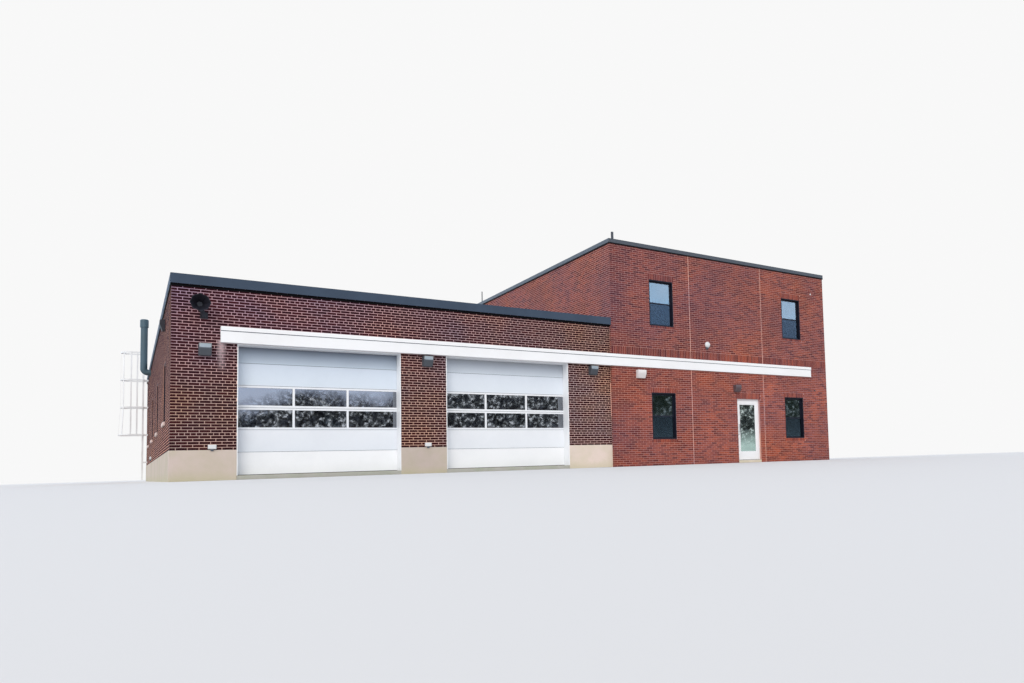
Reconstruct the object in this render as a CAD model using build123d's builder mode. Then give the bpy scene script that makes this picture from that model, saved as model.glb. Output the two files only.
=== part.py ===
"""Two-bay fire station: a brick engine bay beside a two-storey brick crew block.

Millimetres, +X along the front to the right, +Y into the building, +Z up.
The front faces -Y and the origin is the centre of the building's own box, at its foot.
"""
from build123d import *
import os

os.makedirs("parts", exist_ok=True)

# Plan of the two masses, outside brick face to outside brick face
bay_w = 11412
block_w = 9676
depth = 22300
block_proud = 100
wall_t = 305

# Engine bay levels
floor_top = 100
base_top = 700
base_proud = 14
door_head = 3190
bay_wall_top = 4560
bay_deck_t = 200
bay_deck_top = 4650

# Engine bay front, from its left corner
left_pier_w = 1290
bay_door_w = 3715
mid_pier_w = 1200

# Roof edge of the engine bay
fascia_low = 4494
fascia_high = 4721
fascia_proud = 100
fascia_lip = 16
fascia_fall = 20
edge_gap = 6

# Crew block levels
block_wall_top = 7120
coping_high = 7275
coping_over = 30
coping_lip = 40
coping_skin = 8
upper_floor_top = 3700
floor_t = 250
block_deck_top = 6900
block_deck_t = 250

# Windows of the crew block: two sashes, one above the other
win_w = 960
win_h = 1530
win_low_sill = 855
win_up_sill = 4602
win_left_x = 1950
win_right_x = 7890
win_recess = 80
frame_face = 38
frame_d = 90
sash_face = 42
sash_t = 34
sash_play = 3
glass_t = 8

# Windows of the engine bay's side and back
side_win_w = 1070
side_win_h = 1650
side_sill = 1420
side_win_first = 3200
side_win_pitch = 5300
side_win_count = 4
back_win_x = 3800
sill_h = 90
sill_proud = 45

# Overhead doors: six sections, the third and fourth of them glazed
section_h = 533.4
section_gap = 3
section_count = 6
glazed_rows = (2, 3)
section_t = 50
door_overlap = 30
door_low = 114
door_gap = 6
lite_count = 3
end_stile = 52.5
mullion_w = 50
rail_low = 58
rail_top = 48
tongue_h = 10
seat_gap = 0.3
tongue_t = 16
seal_h = door_low - floor_top

# Door tracks and jamb linings
lining_t = 20
track_w = 76
track_t = 6

# White band across both masses
band_low = 3195
band_high = 3567
band_left = 947
band_right = 20230
band_proud = 60
band_cap_h = 95
band_cap_over = 18

# Entry door
entry_x = 5094
entry_w = 1059
entry_frame_h = 2180
entry_foot = 90
entry_recess = 80
entry_face = 50
entry_frame_d = 120
leaf_gap = 5
leaf_t = 45
leaf_stile = 92
leaf_top_rail = 120
leaf_low_rail = 262
stop_w = 16
stop_t = 14
threshold_h = 14
hinge_pin_r = 5
hinge_fit = 0.25
hinge_barrel_r = 9
hinge_h = 120
hinge_leaf_t = 4
hinge_count = 3
pull_z = 1070
pull_h = 300
pull_off = 60
pull_r = 12
post_r = 9
post_in = 24
lock_z = 1010
lock_r = 19
lock_d = 12

# Lamps, horn and boxes on the walls
pack_inset = 662
pack_xs = (644, 5683, bay_w - pack_inset)
pack_w = 248
pack_h = 275
pack_d = 200
pack_drop = 50
lamp_hood = 0.45
lamp_rake = 0.45
entry_lamp_x = 5060
entry_lamp_low = 2510
entry_lamp_w = 250
entry_lamp_h = 240
entry_lamp_d = 170
wedge_x = 1040
wedge_low = 2830
wedge_w = 300
wedge_h = 260
wedge_d = 160
flood_low = 3900
flood_w = 300
flood_h = 290
flood_d = 150
horn_x = 528
horn_z = 4040
horn_r = 190
horn_throat_r = 60
horn_reach = 380
horn_len = 240
horn_driver_r = 54
horn_wall = 6
horn_plate_w = 150
horn_plate_t = 12
horn_sides = 8
horn_arm_x = 95
horn_arm_z = -235
horn_arm_w = 90
horn_arm_t = 60
outlet_xs = (805, 5700)
outlet_rise = 20
outlet_w = 165
outlet_h = 100
outlet_d = 55
side_outlet_y = 14260
side_outlet_rise = 120
speaker_x = 3820
speaker_z = 4105
speaker_r = 135
speaker_d = 85
speaker_taper = 20

# Exhaust stack on the left side wall
stack_y = 16700
stack_r = 118
stack_off = 235
stack_bend_r = 156
stack_low = 4345
stack_cap_r = 142
stack_cap_low = 6160
stack_cap_high = 6480
stack_cap_chamfer = 30
stack_flange_w = 280
stack_flange_t = 10

# Roof ladder and its cage on the left side wall
ladder_y = 20600
ladder_off = 180
ladder_w = 430
rail_w = 60
rail_t = 12
rung_r = 11
rung_pitch = 305
ladder_low = 60
ladder_high = 5850
cage_w = 690
cage_d = 800
cage_low = 2000
cage_pitch = 1200
cage_hoops = 4
hoop_h = 60
hoop_t = 8
cage_bar_w = 50
cage_bar_t = 6
cage_flare = 60
cage_bar_turn = 45
splice_turn = 22.5

# Masts on the crew block's roof edge
stub_x = 190
stub_y = 110
stub_r = 42
stub_h = 260
mast_x = 60
mast_y = 10930
mast_r = 20
mast_h = 470

# Where the building's faces lie, from the sizes above
left_reach = ladder_off + cage_d + cage_flare + hoop_t / 2
total_w = left_reach + bay_w + block_w + coping_over
total_d = horn_reach + depth + fascia_proud
xl = left_reach - total_w / 2
xm = xl + bay_w
xr = xm + block_w
yf = horn_reach - total_d / 2
yb = yf + depth
yk = yf - block_proud

door_x = (xl + left_pier_w, xl + left_pier_w + bay_door_w + mid_pier_w)
right_pier_x = door_x[1] + bay_door_w
right_pier_w = xm - right_pier_x

# A plane on each outside face: its x runs to the viewer's right and its y runs up
bay_front = Plane(origin=(0, yf, 0), x_dir=(1, 0, 0), z_dir=(0, -1, 0))
block_front = Plane(origin=(0, yk, 0), x_dir=(1, 0, 0), z_dir=(0, -1, 0))
left_face = Plane(origin=(xl, 0, 0), x_dir=(0, -1, 0), z_dir=(-1, 0, 0))
right_face = Plane(origin=(xr, 0, 0), x_dir=(0, 1, 0), z_dir=(1, 0, 0))
back_face = Plane(origin=(0, yb, 0), x_dir=(-1, 0, 0), z_dir=(0, 1, 0))

low_corner = (Align.MIN, Align.MIN)
foot = (Align.CENTER, Align.MIN)

# Places of the windows, as the foot of each one's middle line
block_sills = (win_low_sill, win_up_sill)
front_left_wins = [(xm + win_left_x, z) for z in block_sills]
front_right_wins = [(xm + win_right_x, z) for z in block_sills]
back_wins = [(-(xm + x), z) for x in (win_left_x, win_right_x) for z in block_sills]
side_ys = [yf + side_win_first + i * side_win_pitch for i in range(side_win_count)]
right_wins = [(y, z) for y in side_ys for z in block_sills]
bay_left_wins = [(-y, side_sill) for y in side_ys]
bay_back_wins = [(-(xl + x), side_sill) for x in (back_win_x, bay_w - back_win_x)]

block_window_rows = [
    (block_front, front_left_wins + front_right_wins),
    (right_face, right_wins),
    (back_face, back_wins),
]
bay_window_rows = [(left_face, bay_left_wins), (back_face, bay_back_wins)]
window_kinds = [(row, win_w, win_h) for row in block_window_rows]
window_kinds += [(row, side_win_w, side_win_h) for row in bay_window_rows]


def save(piece, label):
    """Names a finished piece and writes it."""
    piece.part.label = label
    export_step(piece.part, f"parts/{label}.step")


# Concrete ground floors, the bay's with a tongue out through each doorway
with BuildPart() as ground_floors:
    with BuildSketch():
        with Locations((xl + wall_t, yf + wall_t)):
            Rectangle(bay_w - wall_t, depth - 2 * wall_t, align=low_corner)
        for x in door_x:
            with Locations((x, yf)):
                Rectangle(bay_door_w, wall_t, align=low_corner)
        with Locations((xm + wall_t, yk + wall_t)):
            Rectangle(block_w - 2 * wall_t, depth + block_proud - 2 * wall_t, align=low_corner)
    extrude(amount=floor_top)
save(ground_floors, "ground_floors")

# Concrete floor of the upper storey
with BuildPart() as upper_floor:
    with BuildSketch(Plane.XY.offset(upper_floor_top - floor_t)):
        with Locations((xm + wall_t, yk + wall_t)):
            Rectangle(block_w - 2 * wall_t, depth + block_proud - 2 * wall_t, align=low_corner)
    extrude(amount=floor_t)
save(upper_floor, "upper_floor")

# Concrete bases of the engine bay: under the three piers, the side wall and the back wall
pier_spans = [
    (xl - base_proud, door_x[0] - xl + base_proud),
    (door_x[0] + bay_door_w, mid_pier_w),
    (right_pier_x, right_pier_w),
]
with BuildPart() as bay_bases:
    with BuildSketch():
        for x, w in pier_spans:
            with Locations((x, yf - base_proud)):
                Rectangle(w, wall_t + base_proud, align=low_corner)
        with Locations((xl - base_proud, yf + wall_t)):
            Rectangle(wall_t + base_proud, depth - 2 * wall_t, align=low_corner)
        with Locations((xl - base_proud, yb - wall_t)):
            Rectangle(bay_w + base_proud, wall_t + base_proud, align=low_corner)
    extrude(amount=base_top)
save(bay_bases, "bay_bases")

# Brick piers beside the two overhead doors
with BuildPart() as bay_piers:
    with BuildSketch(Plane.XY.offset(base_top)):
        for x, w in ((xl, left_pier_w), pier_spans[1], pier_spans[2]):
            with Locations((x, yf)):
                Rectangle(w, wall_t, align=low_corner)
    extrude(amount=door_head - base_top)
save(bay_piers, "bay_piers")

with BuildPart() as bay_header_wall:
    with BuildSketch(bay_front):
        with Locations((xl, door_head)):
            Rectangle(bay_w, bay_wall_top - door_head, align=low_corner)
    extrude(amount=-wall_t)
save(bay_header_wall, "bay_header_wall")

with BuildPart() as bay_side_wall:
    with BuildSketch(left_face):
        with Locations((-(yb - wall_t), base_top)):
            Rectangle(depth - 2 * wall_t, bay_wall_top - base_top, align=low_corner)
        with Locations(*bay_left_wins):
            Rectangle(side_win_w, side_win_h, align=foot, mode=Mode.SUBTRACT)
    extrude(amount=-wall_t)
save(bay_side_wall, "bay_side_wall")

with BuildPart() as bay_back_wall:
    with BuildSketch(back_face):
        with Locations((-xm, base_top)):
            Rectangle(bay_w, bay_wall_top - base_top, align=low_corner)
        with Locations(*bay_back_wins):
            Rectangle(side_win_w, side_win_h, align=foot, mode=Mode.SUBTRACT)
    extrude(amount=-wall_t)
save(bay_back_wall, "bay_back_wall")

with BuildPart() as bay_roof:
    with BuildSketch(Plane.XY.offset(bay_deck_top - bay_deck_t)):
        with Locations((xl + wall_t, yf + wall_t)):
            Rectangle(bay_w - wall_t, depth - 2 * wall_t, align=low_corner)
    extrude(amount=bay_deck_t)
save(bay_roof, "bay_roof")

# Stone sills of the engine bay's windows
with BuildPart() as window_sills:
    for plane, spots in bay_window_rows:
        with BuildSketch(plane.offset(sill_proud)):
            with Locations(*spots):
                Rectangle(side_win_w, sill_h, align=foot)
        extrude(amount=-(sill_proud + win_recess + frame_d))
save(window_sills, "window_sills")


# Sheet metal roof edge: a face plate with a drip lip, capped over the wall
def fascia_points():
    """Section of the roof edge, with x outwards from the brick face and y up."""
    return [
        (fascia_proud, fascia_low),
        (fascia_proud, fascia_high),
        (-wall_t, fascia_high - fascia_fall),
        (-wall_t, bay_wall_top),
        (fascia_proud - fascia_lip, bay_wall_top),
        (fascia_proud - fascia_lip, fascia_low),
    ]


with BuildPart() as bay_fascia:
    with BuildLine():
        Polyline((xm, yf), (xl, yf), (xl, yb), (xm, yb))
    with BuildSketch(Plane(origin=(xm, yf, 0), x_dir=(0, -1, 0), z_dir=(-1, 0, 0))):
        with BuildLine():
            Polyline(*fascia_points(), close=True)
        make_face()
    sweep(transition=Transition.RIGHT)
    for y, turn in ((yf, 45), (yb, -45)):
        with Locations(Location((xl, y, fascia_low), (0, 0, turn))):
            Box(4 * wall_t, edge_gap, 4 * wall_t, mode=Mode.SUBTRACT)
save(bay_fascia, "bay_fascia")


# One overhead door: solid and glazed sections that meet tongue in groove
door_w = bay_door_w + 2 * door_overlap
lite_w = (door_w - 2 * end_stile - (lite_count - 1) * mullion_w) / lite_count
lite_pitch = lite_w + mullion_w
door_plane = bay_front.offset(-(wall_t + door_gap))


def lite_centres(x):
    """Middles of the three panes of a door whose doorway starts at x."""
    middle = x + bay_door_w / 2
    return [middle + (i - (lite_count - 1) / 2) * lite_pitch for i in range(lite_count)]


def door_sections(x):
    """The six sections of the door over the doorway that starts at x."""
    with BuildPart() as door:
        for row in range(section_count):
            low = door_low + row * section_h
            body_h = section_h - section_gap
            end = (x - door_overlap, yf + wall_t + door_gap, low)
            with BuildSketch(Plane(origin=end, x_dir=(0, 1, 0), z_dir=(1, 0, 0))):
                Rectangle(section_t, body_h, align=low_corner)
                if row < section_count - 1:
                    with Locations((section_t / 2, body_h)):
                        Rectangle(tongue_t, tongue_h, align=foot)
                if row > 0:
                    with Locations((section_t / 2, 0)):
                        Rectangle(
                            tongue_t + 2 * section_gap,
                            tongue_h - section_gap + seat_gap,
                            align=foot,
                            mode=Mode.SUBTRACT,
                        )
            extrude(amount=door_w)
            if row in glazed_rows:
                with BuildSketch(door_plane):
                    for middle in lite_centres(x):
                        with Locations((middle, low + rail_low)):
                            Rectangle(lite_w, section_h - rail_low - rail_top, align=foot)
                extrude(amount=-section_t, mode=Mode.SUBTRACT)
    return door


save(door_sections(door_x[0]), "left_overhead_door")
save(door_sections(door_x[1]), "right_overhead_door")

with BuildPart() as overhead_door_glass:
    with BuildSketch(door_plane.offset(-(section_t - glass_t) / 2)):
        for row in glazed_rows:
            for x in door_x:
                for middle in lite_centres(x):
                    with Locations((middle, door_low + row * section_h + rail_low)):
                        Rectangle(lite_w, section_h - rail_low - rail_top, align=foot)
    extrude(amount=-glass_t)
save(overhead_door_glass, "overhead_door_glass")

# Rubber seal along the foot of each overhead door
with BuildPart() as door_seals:
    with BuildSketch(door_plane):
        for x in door_x:
            with Locations((x - door_overlap, floor_top)):
                Rectangle(door_w, seal_h, align=low_corner)
    extrude(amount=-section_t)
save(door_seals, "door_seals")

# White metal lining of each doorway: two jambs and a head
with BuildPart() as doorway_linings:
    with BuildSketch(bay_front.offset(lining_t / 2)):
        for x in door_x:
            with Locations((x, floor_top)):
                Rectangle(bay_door_w, door_head - floor_top, align=low_corner)
            with Locations((x + lining_t, floor_top)):
                Rectangle(
                    bay_door_w - 2 * lining_t,
                    door_head - floor_top - lining_t,
                    align=low_corner,
                    mode=Mode.SUBTRACT,
                )
    extrude(amount=-(wall_t + lining_t / 2))
save(doorway_linings, "doorway_linings")

# Angle tracks on the wall's inner face, one each side of each overhead door
track_h = section_count * section_h + door_low - floor_top
track_reach = section_t + door_gap
with BuildPart() as door_tracks:
    with BuildSketch(Plane.XY.offset(floor_top)):
        for x in door_x:
            for edge, out in ((x - door_overlap, -1), (x + bay_door_w + door_overlap, 1)):
                with Locations((edge + out * (track_w + track_t) / 2, yf + wall_t + track_t / 2)):
                    Rectangle(track_w, track_t)
                with Locations((edge + out * track_t, yf + wall_t + track_reach / 2)):
                    Rectangle(track_t, track_reach)
    extrude(amount=track_h)
save(door_tracks, "door_tracks")

# White band: a flat board under a slightly thicker cap
with BuildPart() as front_band:
    with BuildSketch(Plane.XY.offset(band_low)):
        with Locations((xl + band_left, yk - band_proud)):
            Rectangle(bay_w - band_left, band_proud + block_proud, align=low_corner)
        with Locations((xm, yk - band_proud)):
            Rectangle(band_right - bay_w, band_proud, align=low_corner)
    extrude(amount=band_high - band_low)
    with BuildSketch(block_front.offset(band_proud)):
        with Locations((xl + band_left, band_low)):
            Rectangle(band_right - band_left, band_high - band_low - band_cap_h, align=low_corner)
    extrude(amount=-band_cap_over, mode=Mode.SUBTRACT)
save(front_band, "front_band")

# Front wall of the crew block, split beside and over the entry doorway
entry_left = xm + entry_x
entry_right = entry_left + entry_w
entry_top = entry_foot + entry_frame_h
with BuildPart() as front_wall_left:
    with BuildSketch(block_front):
        with Locations((xm, 0)):
            Rectangle(entry_left - xm, block_wall_top, align=low_corner)
        with Locations(*front_left_wins):
            Rectangle(win_w, win_h, align=foot, mode=Mode.SUBTRACT)
    extrude(amount=-wall_t)
save(front_wall_left, "front_wall_left")

with BuildPart() as front_wall_right:
    with BuildSketch(block_front):
        with Locations((entry_right, 0)):
            Rectangle(xr - entry_right, block_wall_top, align=low_corner)
        with Locations(*front_right_wins):
            Rectangle(win_w, win_h, align=foot, mode=Mode.SUBTRACT)
    extrude(amount=-wall_t)
save(front_wall_right, "front_wall_right")

with BuildPart() as front_wall_over_door:
    with BuildSketch(block_front):
        with Locations((entry_left, entry_top)):
            Rectangle(entry_w, block_wall_top - entry_top, align=low_corner)
    extrude(amount=-wall_t)
save(front_wall_over_door, "front_wall_over_door")

with BuildPart() as entry_step:
    with BuildSketch(Plane.XY):
        with Locations((entry_left, yk)):
            Rectangle(entry_w, wall_t, align=low_corner)
    extrude(amount=entry_foot)
save(entry_step, "entry_step")

# Long wall between the bay and the block, and the outer walls of the block
with BuildPart() as party_wall:
    with BuildSketch(Plane.XY):
        with Locations((xm, yk + wall_t)):
            Rectangle(wall_t, depth + block_proud - 2 * wall_t, align=low_corner)
    extrude(amount=block_wall_top)
save(party_wall, "party_wall")

with BuildPart() as block_side_wall:
    with BuildSketch(right_face):
        with Locations((yk + wall_t, 0)):
            Rectangle(depth + block_proud - 2 * wall_t, block_wall_top, align=low_corner)
        with Locations(*right_wins):
            Rectangle(win_w, win_h, align=foot, mode=Mode.SUBTRACT)
    extrude(amount=-wall_t)
save(block_side_wall, "block_side_wall")

with BuildPart() as block_back_wall:
    with BuildSketch(back_face):
        with Locations((-xr, 0)):
            Rectangle(block_w, block_wall_top, align=low_corner)
        with Locations(*back_wins):
            Rectangle(win_w, win_h, align=foot, mode=Mode.SUBTRACT)
    extrude(amount=-wall_t)
save(block_back_wall, "block_back_wall")

with BuildPart() as block_roof:
    with BuildSketch(Plane.XY.offset(block_deck_top - block_deck_t)):
        with Locations((xm + wall_t, yk + wall_t)):
            Rectangle(block_w - 2 * wall_t, depth + block_proud - 2 * wall_t, align=low_corner)
    extrude(amount=block_deck_t)
save(block_roof, "block_roof")


def coping_points():
    """Section of the wall cap, with x outwards from the brick face and y up."""
    inner = -wall_t - coping_over
    return [
        (coping_over, block_wall_top - coping_lip),
        (coping_over, coping_high),
        (inner, coping_high - fascia_fall),
        (inner, block_wall_top - coping_lip),
        (inner + coping_skin, block_wall_top - coping_lip),
        (inner + coping_skin, block_wall_top),
        (coping_over - coping_skin, block_wall_top),
        (coping_over - coping_skin, block_wall_top - coping_lip),
    ]


# Metal coping round the top of the block, with an open joint at each mitre
with BuildPart() as block_coping:
    with BuildLine():
        Polyline(((xm + xr) / 2, yk), (xr, yk), (xr, yb), (xm, yb), (xm, yk), ((xm + xr) / 2, yk))
    with BuildSketch(Plane(origin=((xm + xr) / 2, yk, 0), x_dir=(0, -1, 0), z_dir=(-1, 0, 0))):
        with BuildLine():
            Polyline(*coping_points(), close=True)
        make_face()
    sweep(transition=Transition.RIGHT)
    for x, y, turn in ((xm, yk, 45), (xr, yk, -45), (xm, yb, -45), (xr, yb, 45)):
        with Locations(Location((x, y, block_wall_top), (0, 0, turn))):
            Box(4 * wall_t, edge_gap, 4 * wall_t, mode=Mode.SUBTRACT)
save(block_coping, "block_coping")

# Window frames, sashes and glass, for every window of the building
with BuildPart() as window_frames:
    for (plane, spots), w, h in window_kinds:
        sill = sill_h if h == side_win_h else 0
        with BuildSketch(plane.offset(-win_recess)):
            for x, z in spots:
                with Locations((x, z + sill)):
                    Rectangle(w, h - sill, align=foot)
                with Locations((x, z + sill + frame_face)):
                    Rectangle(w - 2 * frame_face, h - sill - 2 * frame_face, align=foot, mode=Mode.SUBTRACT)
        extrude(amount=-frame_d)
save(window_frames, "window_frames")


def sash_size(w, h):
    """Width and height of one of the two sashes of a window."""
    sill = sill_h if h == side_win_h else 0
    return w - 2 * frame_face, (h - sill - 2 * frame_face + sash_face) / 2, sill


with BuildPart() as window_sashes:
    for (plane, spots), w, h in window_kinds:
        sash_w, sash_h, sill = sash_size(w, h)
        rise = sash_h - sash_face
        for lift, back in ((rise, sash_play), (0, 2 * sash_play + sash_t)):
            with BuildSketch(plane.offset(-(win_recess + back))):
                for x, z in spots:
                    with Locations((x, z + sill + frame_face + lift)):
                        Rectangle(sash_w, sash_h, align=foot)
                    with Locations((x, z + sill + frame_face + lift + sash_face)):
                        Rectangle(
                            sash_w - 2 * sash_face,
                            sash_h - 2 * sash_face,
                            align=foot,
                            mode=Mode.SUBTRACT,
                        )
            extrude(amount=-sash_t)
save(window_sashes, "window_sashes")

with BuildPart() as window_glass:
    for (plane, spots), w, h in window_kinds:
        sash_w, sash_h, sill = sash_size(w, h)
        rise = sash_h - sash_face
        for lift, back in ((rise, sash_play), (0, 2 * sash_play + sash_t)):
            with BuildSketch(plane.offset(-(win_recess + back + (sash_t - glass_t) / 2))):
                for x, z in spots:
                    with Locations((x, z + sill + frame_face + lift + sash_face)):
                        Rectangle(sash_w - 2 * sash_face, sash_h - 2 * sash_face, align=foot)
            extrude(amount=-glass_t)
save(window_glass, "window_glass")

# Entry door frame: jambs and head with a stop behind the leaf
entry_face_y = yk + entry_recess
leaf_back_y = entry_face_y + leaf_t + leaf_gap
opening_w = entry_w - 2 * entry_face
opening_h = entry_frame_h - entry_face - threshold_h
with BuildPart() as entry_frame:
    with BuildSketch(block_front.offset(-entry_recess)):
        with Locations((entry_left, entry_foot + threshold_h)):
            Rectangle(entry_w, entry_frame_h - threshold_h, align=low_corner)
        with Locations((entry_left + entry_face, entry_foot + threshold_h)):
            Rectangle(opening_w, opening_h, align=low_corner, mode=Mode.SUBTRACT)
    extrude(amount=-entry_frame_d)
    with BuildSketch(block_front.offset(-(entry_recess + leaf_t + leaf_gap))):
        with Locations((entry_left + entry_face, entry_foot + threshold_h)):
            Rectangle(opening_w, opening_h, align=low_corner)
        with Locations((entry_left + entry_face + stop_w, entry_foot + threshold_h)):
            Rectangle(opening_w - 2 * stop_w, opening_h - stop_w, align=low_corner, mode=Mode.SUBTRACT)
    extrude(amount=-stop_t)
save(entry_frame, "entry_frame")

with BuildPart() as entry_threshold:
    with BuildSketch(Plane.XY.offset(entry_foot)):
        with Locations((entry_left, entry_face_y)):
            Rectangle(entry_w, entry_frame_d, align=low_corner)
    extrude(amount=threshold_h)
save(entry_threshold, "entry_threshold")

# Glazed door leaf, hung on its right-hand edge and opening outwards
leaf_x = entry_left + entry_face + leaf_gap
leaf_w = opening_w - 2 * leaf_gap
leaf_z = entry_foot + threshold_h + leaf_gap
leaf_h = opening_h - 2 * leaf_gap
lite_h = leaf_h - leaf_top_rail - leaf_low_rail
leaf_plane = block_front.offset(-entry_recess)
with BuildPart() as entry_door_leaf:
    with BuildSketch(leaf_plane):
        with Locations((leaf_x, leaf_z)):
            Rectangle(leaf_w, leaf_h, align=low_corner)
        with Locations((leaf_x + leaf_stile, leaf_z + leaf_low_rail)):
            Rectangle(leaf_w - 2 * leaf_stile, lite_h, align=low_corner, mode=Mode.SUBTRACT)
    extrude(amount=-leaf_t)
save(entry_door_leaf, "entry_door_leaf")

with BuildPart() as entry_door_glass:
    with BuildSketch(leaf_plane.offset(-(leaf_t - glass_t) / 2)):
        with Locations((leaf_x + leaf_stile, leaf_z + leaf_low_rail)):
            Rectangle(leaf_w - 2 * leaf_stile, lite_h, align=low_corner)
    extrude(amount=-glass_t)
save(entry_door_glass, "entry_door_glass")

# Hinges: outer knuckles and pin on the frame, middle knuckle on the leaf
hinge_x = leaf_x + leaf_w + leaf_gap / 2
hinge_y = entry_face_y - hinge_barrel_r
knuckle_h = hinge_h / 3
hinge_zs = [leaf_z + leaf_h * (i + 0.5) / hinge_count - hinge_h / 2 for i in range(hinge_count)]
with BuildPart() as entry_frame_hinges:
    for z in hinge_zs:
        with BuildSketch(Plane.XY.offset(z)):
            with Locations((hinge_x, hinge_y)):
                Circle(hinge_pin_r)
        extrude(amount=hinge_h)
        for low in (z, z + 2 * knuckle_h):
            with BuildSketch(Plane.XY.offset(low)):
                with Locations((hinge_x, hinge_y)):
                    Circle(hinge_barrel_r)
                with Locations((hinge_x, entry_face_y - hinge_leaf_t)):
                    Rectangle(entry_face - leaf_gap, hinge_leaf_t, align=low_corner)
            extrude(amount=knuckle_h)
save(entry_frame_hinges, "entry_frame_hinges")

with BuildPart() as entry_door_hinges:
    for z in hinge_zs:
        with BuildSketch(Plane.XY.offset(z + knuckle_h + 2 * hinge_fit)):
            with Locations((hinge_x, hinge_y)):
                Circle(hinge_barrel_r)
            with Locations((hinge_x - leaf_stile / 2, entry_face_y - hinge_leaf_t)):
                Rectangle(leaf_stile / 2, hinge_leaf_t, align=low_corner)
            with Locations((hinge_x, hinge_y)):
                Circle(hinge_pin_r + hinge_fit, mode=Mode.SUBTRACT)
        extrude(amount=knuckle_h - 4 * hinge_fit)
save(entry_door_hinges, "entry_door_hinges")

# Pull handle with two posts, and the lock below it, on the left-hand stile
pull_x = leaf_x + leaf_stile / 2
pull_y = entry_face_y - pull_off
with BuildPart() as entry_door_pull:
    with BuildSketch(Plane.XY.offset(pull_z)):
        with Locations((pull_x, pull_y)):
            Circle(pull_r)
    extrude(amount=pull_h)
    with BuildSketch(leaf_plane):
        for z in (pull_z + post_in, pull_z + pull_h - post_in):
            with Locations((pull_x, z)):
                Circle(post_r)
    extrude(amount=pull_off)
    with BuildSketch(leaf_plane):
        with Locations((pull_x, lock_z)):
            Circle(lock_r)
    extrude(amount=lock_d)
save(entry_door_pull, "entry_door_pull")


# Wall lamps: a back box with a sloping glass front
def lamp_points(reach, height):
    """Side view of a wall lamp, with x outwards and y up."""
    return [
        (0, 0),
        (0, height),
        (reach, height),
        (reach, height - lamp_hood * height),
        (reach - lamp_rake * reach, 0),
    ]


pack_low = band_low - pack_drop - pack_h
front_lamps = [(xl + x, yf, pack_low, pack_w, pack_h, pack_d) for x in pack_xs]
front_lamps.append((xm + entry_lamp_x, yk, entry_lamp_low, entry_lamp_w, entry_lamp_h, entry_lamp_d))
front_lamps.append((xm + wedge_x, yk, wedge_low, wedge_w, wedge_h, wedge_d))
with BuildPart() as wall_lamps:
    for x, y, z, w, h, reach in front_lamps:
        with BuildSketch(Plane(origin=(x + w / 2, y, z), x_dir=(0, -1, 0), z_dir=(-1, 0, 0))):
            with BuildLine():
                Polyline(*lamp_points(reach, h), close=True)
            make_face()
        extrude(amount=w)
    flood_end = (xl, side_ys[0] - flood_w / 2, flood_low)
    with BuildSketch(Plane(origin=flood_end, x_dir=(-1, 0, 0), z_dir=(0, 1, 0))):
        with BuildLine():
            Polyline(*lamp_points(flood_d, flood_h), close=True)
        make_face()
    extrude(amount=flood_w)
save(wall_lamps, "wall_lamps")

# Horn siren on the bay front: an open flared bell, its driver behind it, and a link on the wall
# that runs from the driver down to a wall plate
horn_face = bay_front.offset(horn_reach)
horn_back = horn_face.offset(-horn_len)
horn_spot = (xl + horn_x, horn_z)
horn_foot = (xl + horn_x + horn_arm_x, horn_z + horn_arm_z)


def horn_mouth(plane, r):
    """An eight-sided outline of the bell, a corner at its top, with flats r from its middle."""
    with BuildSketch(plane) as mouth:
        with Locations(horn_spot):
            RegularPolygon(r, horn_sides, major_radius=False)
    return mouth


with BuildPart() as siren_horn:
    loft([horn_mouth(horn_back, horn_throat_r).sketch, horn_mouth(horn_face, horn_r).sketch])
    inner_back = horn_mouth(horn_back.offset(horn_wall), horn_throat_r - horn_wall).sketch
    inner_face = horn_mouth(horn_face, horn_r - horn_wall).sketch
    loft([inner_back, inner_face], mode=Mode.SUBTRACT)
    with BuildSketch(horn_back):
        with Locations(horn_spot):
            Circle(horn_driver_r)
    extrude(amount=-(horn_reach - horn_len))
    with BuildSketch(bay_front):
        with BuildLine():
            Line(horn_spot, horn_foot)
        trace(line_width=horn_arm_w)
        with Locations(horn_spot, horn_foot):
            Circle(horn_arm_w / 2)
    extrude(amount=horn_arm_t)
    with BuildSketch(bay_front):
        with Locations(horn_foot):
            Rectangle(horn_plate_w, horn_plate_w)
    extrude(amount=horn_plate_t)
save(siren_horn, "siren_horn")

# Small outlet boxes on the brick just above the concrete base, and the round speaker
with BuildPart() as wall_boxes:
    with BuildSketch(bay_front):
        for x in outlet_xs:
            with Locations((xl + x, base_top + outlet_rise)):
                Rectangle(outlet_w, outlet_h, align=foot)
    extrude(amount=outlet_d)
    with BuildSketch(left_face):
        with Locations((-(yf + side_outlet_y), base_top + side_outlet_rise)):
            Rectangle(outlet_w, outlet_h, align=foot)
    extrude(amount=outlet_d)
    with BuildSketch(block_front):
        with Locations((xm + speaker_x, speaker_z)):
            Circle(speaker_r)
    extrude(amount=speaker_d, taper=speaker_taper)
save(wall_boxes, "wall_boxes")

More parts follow.
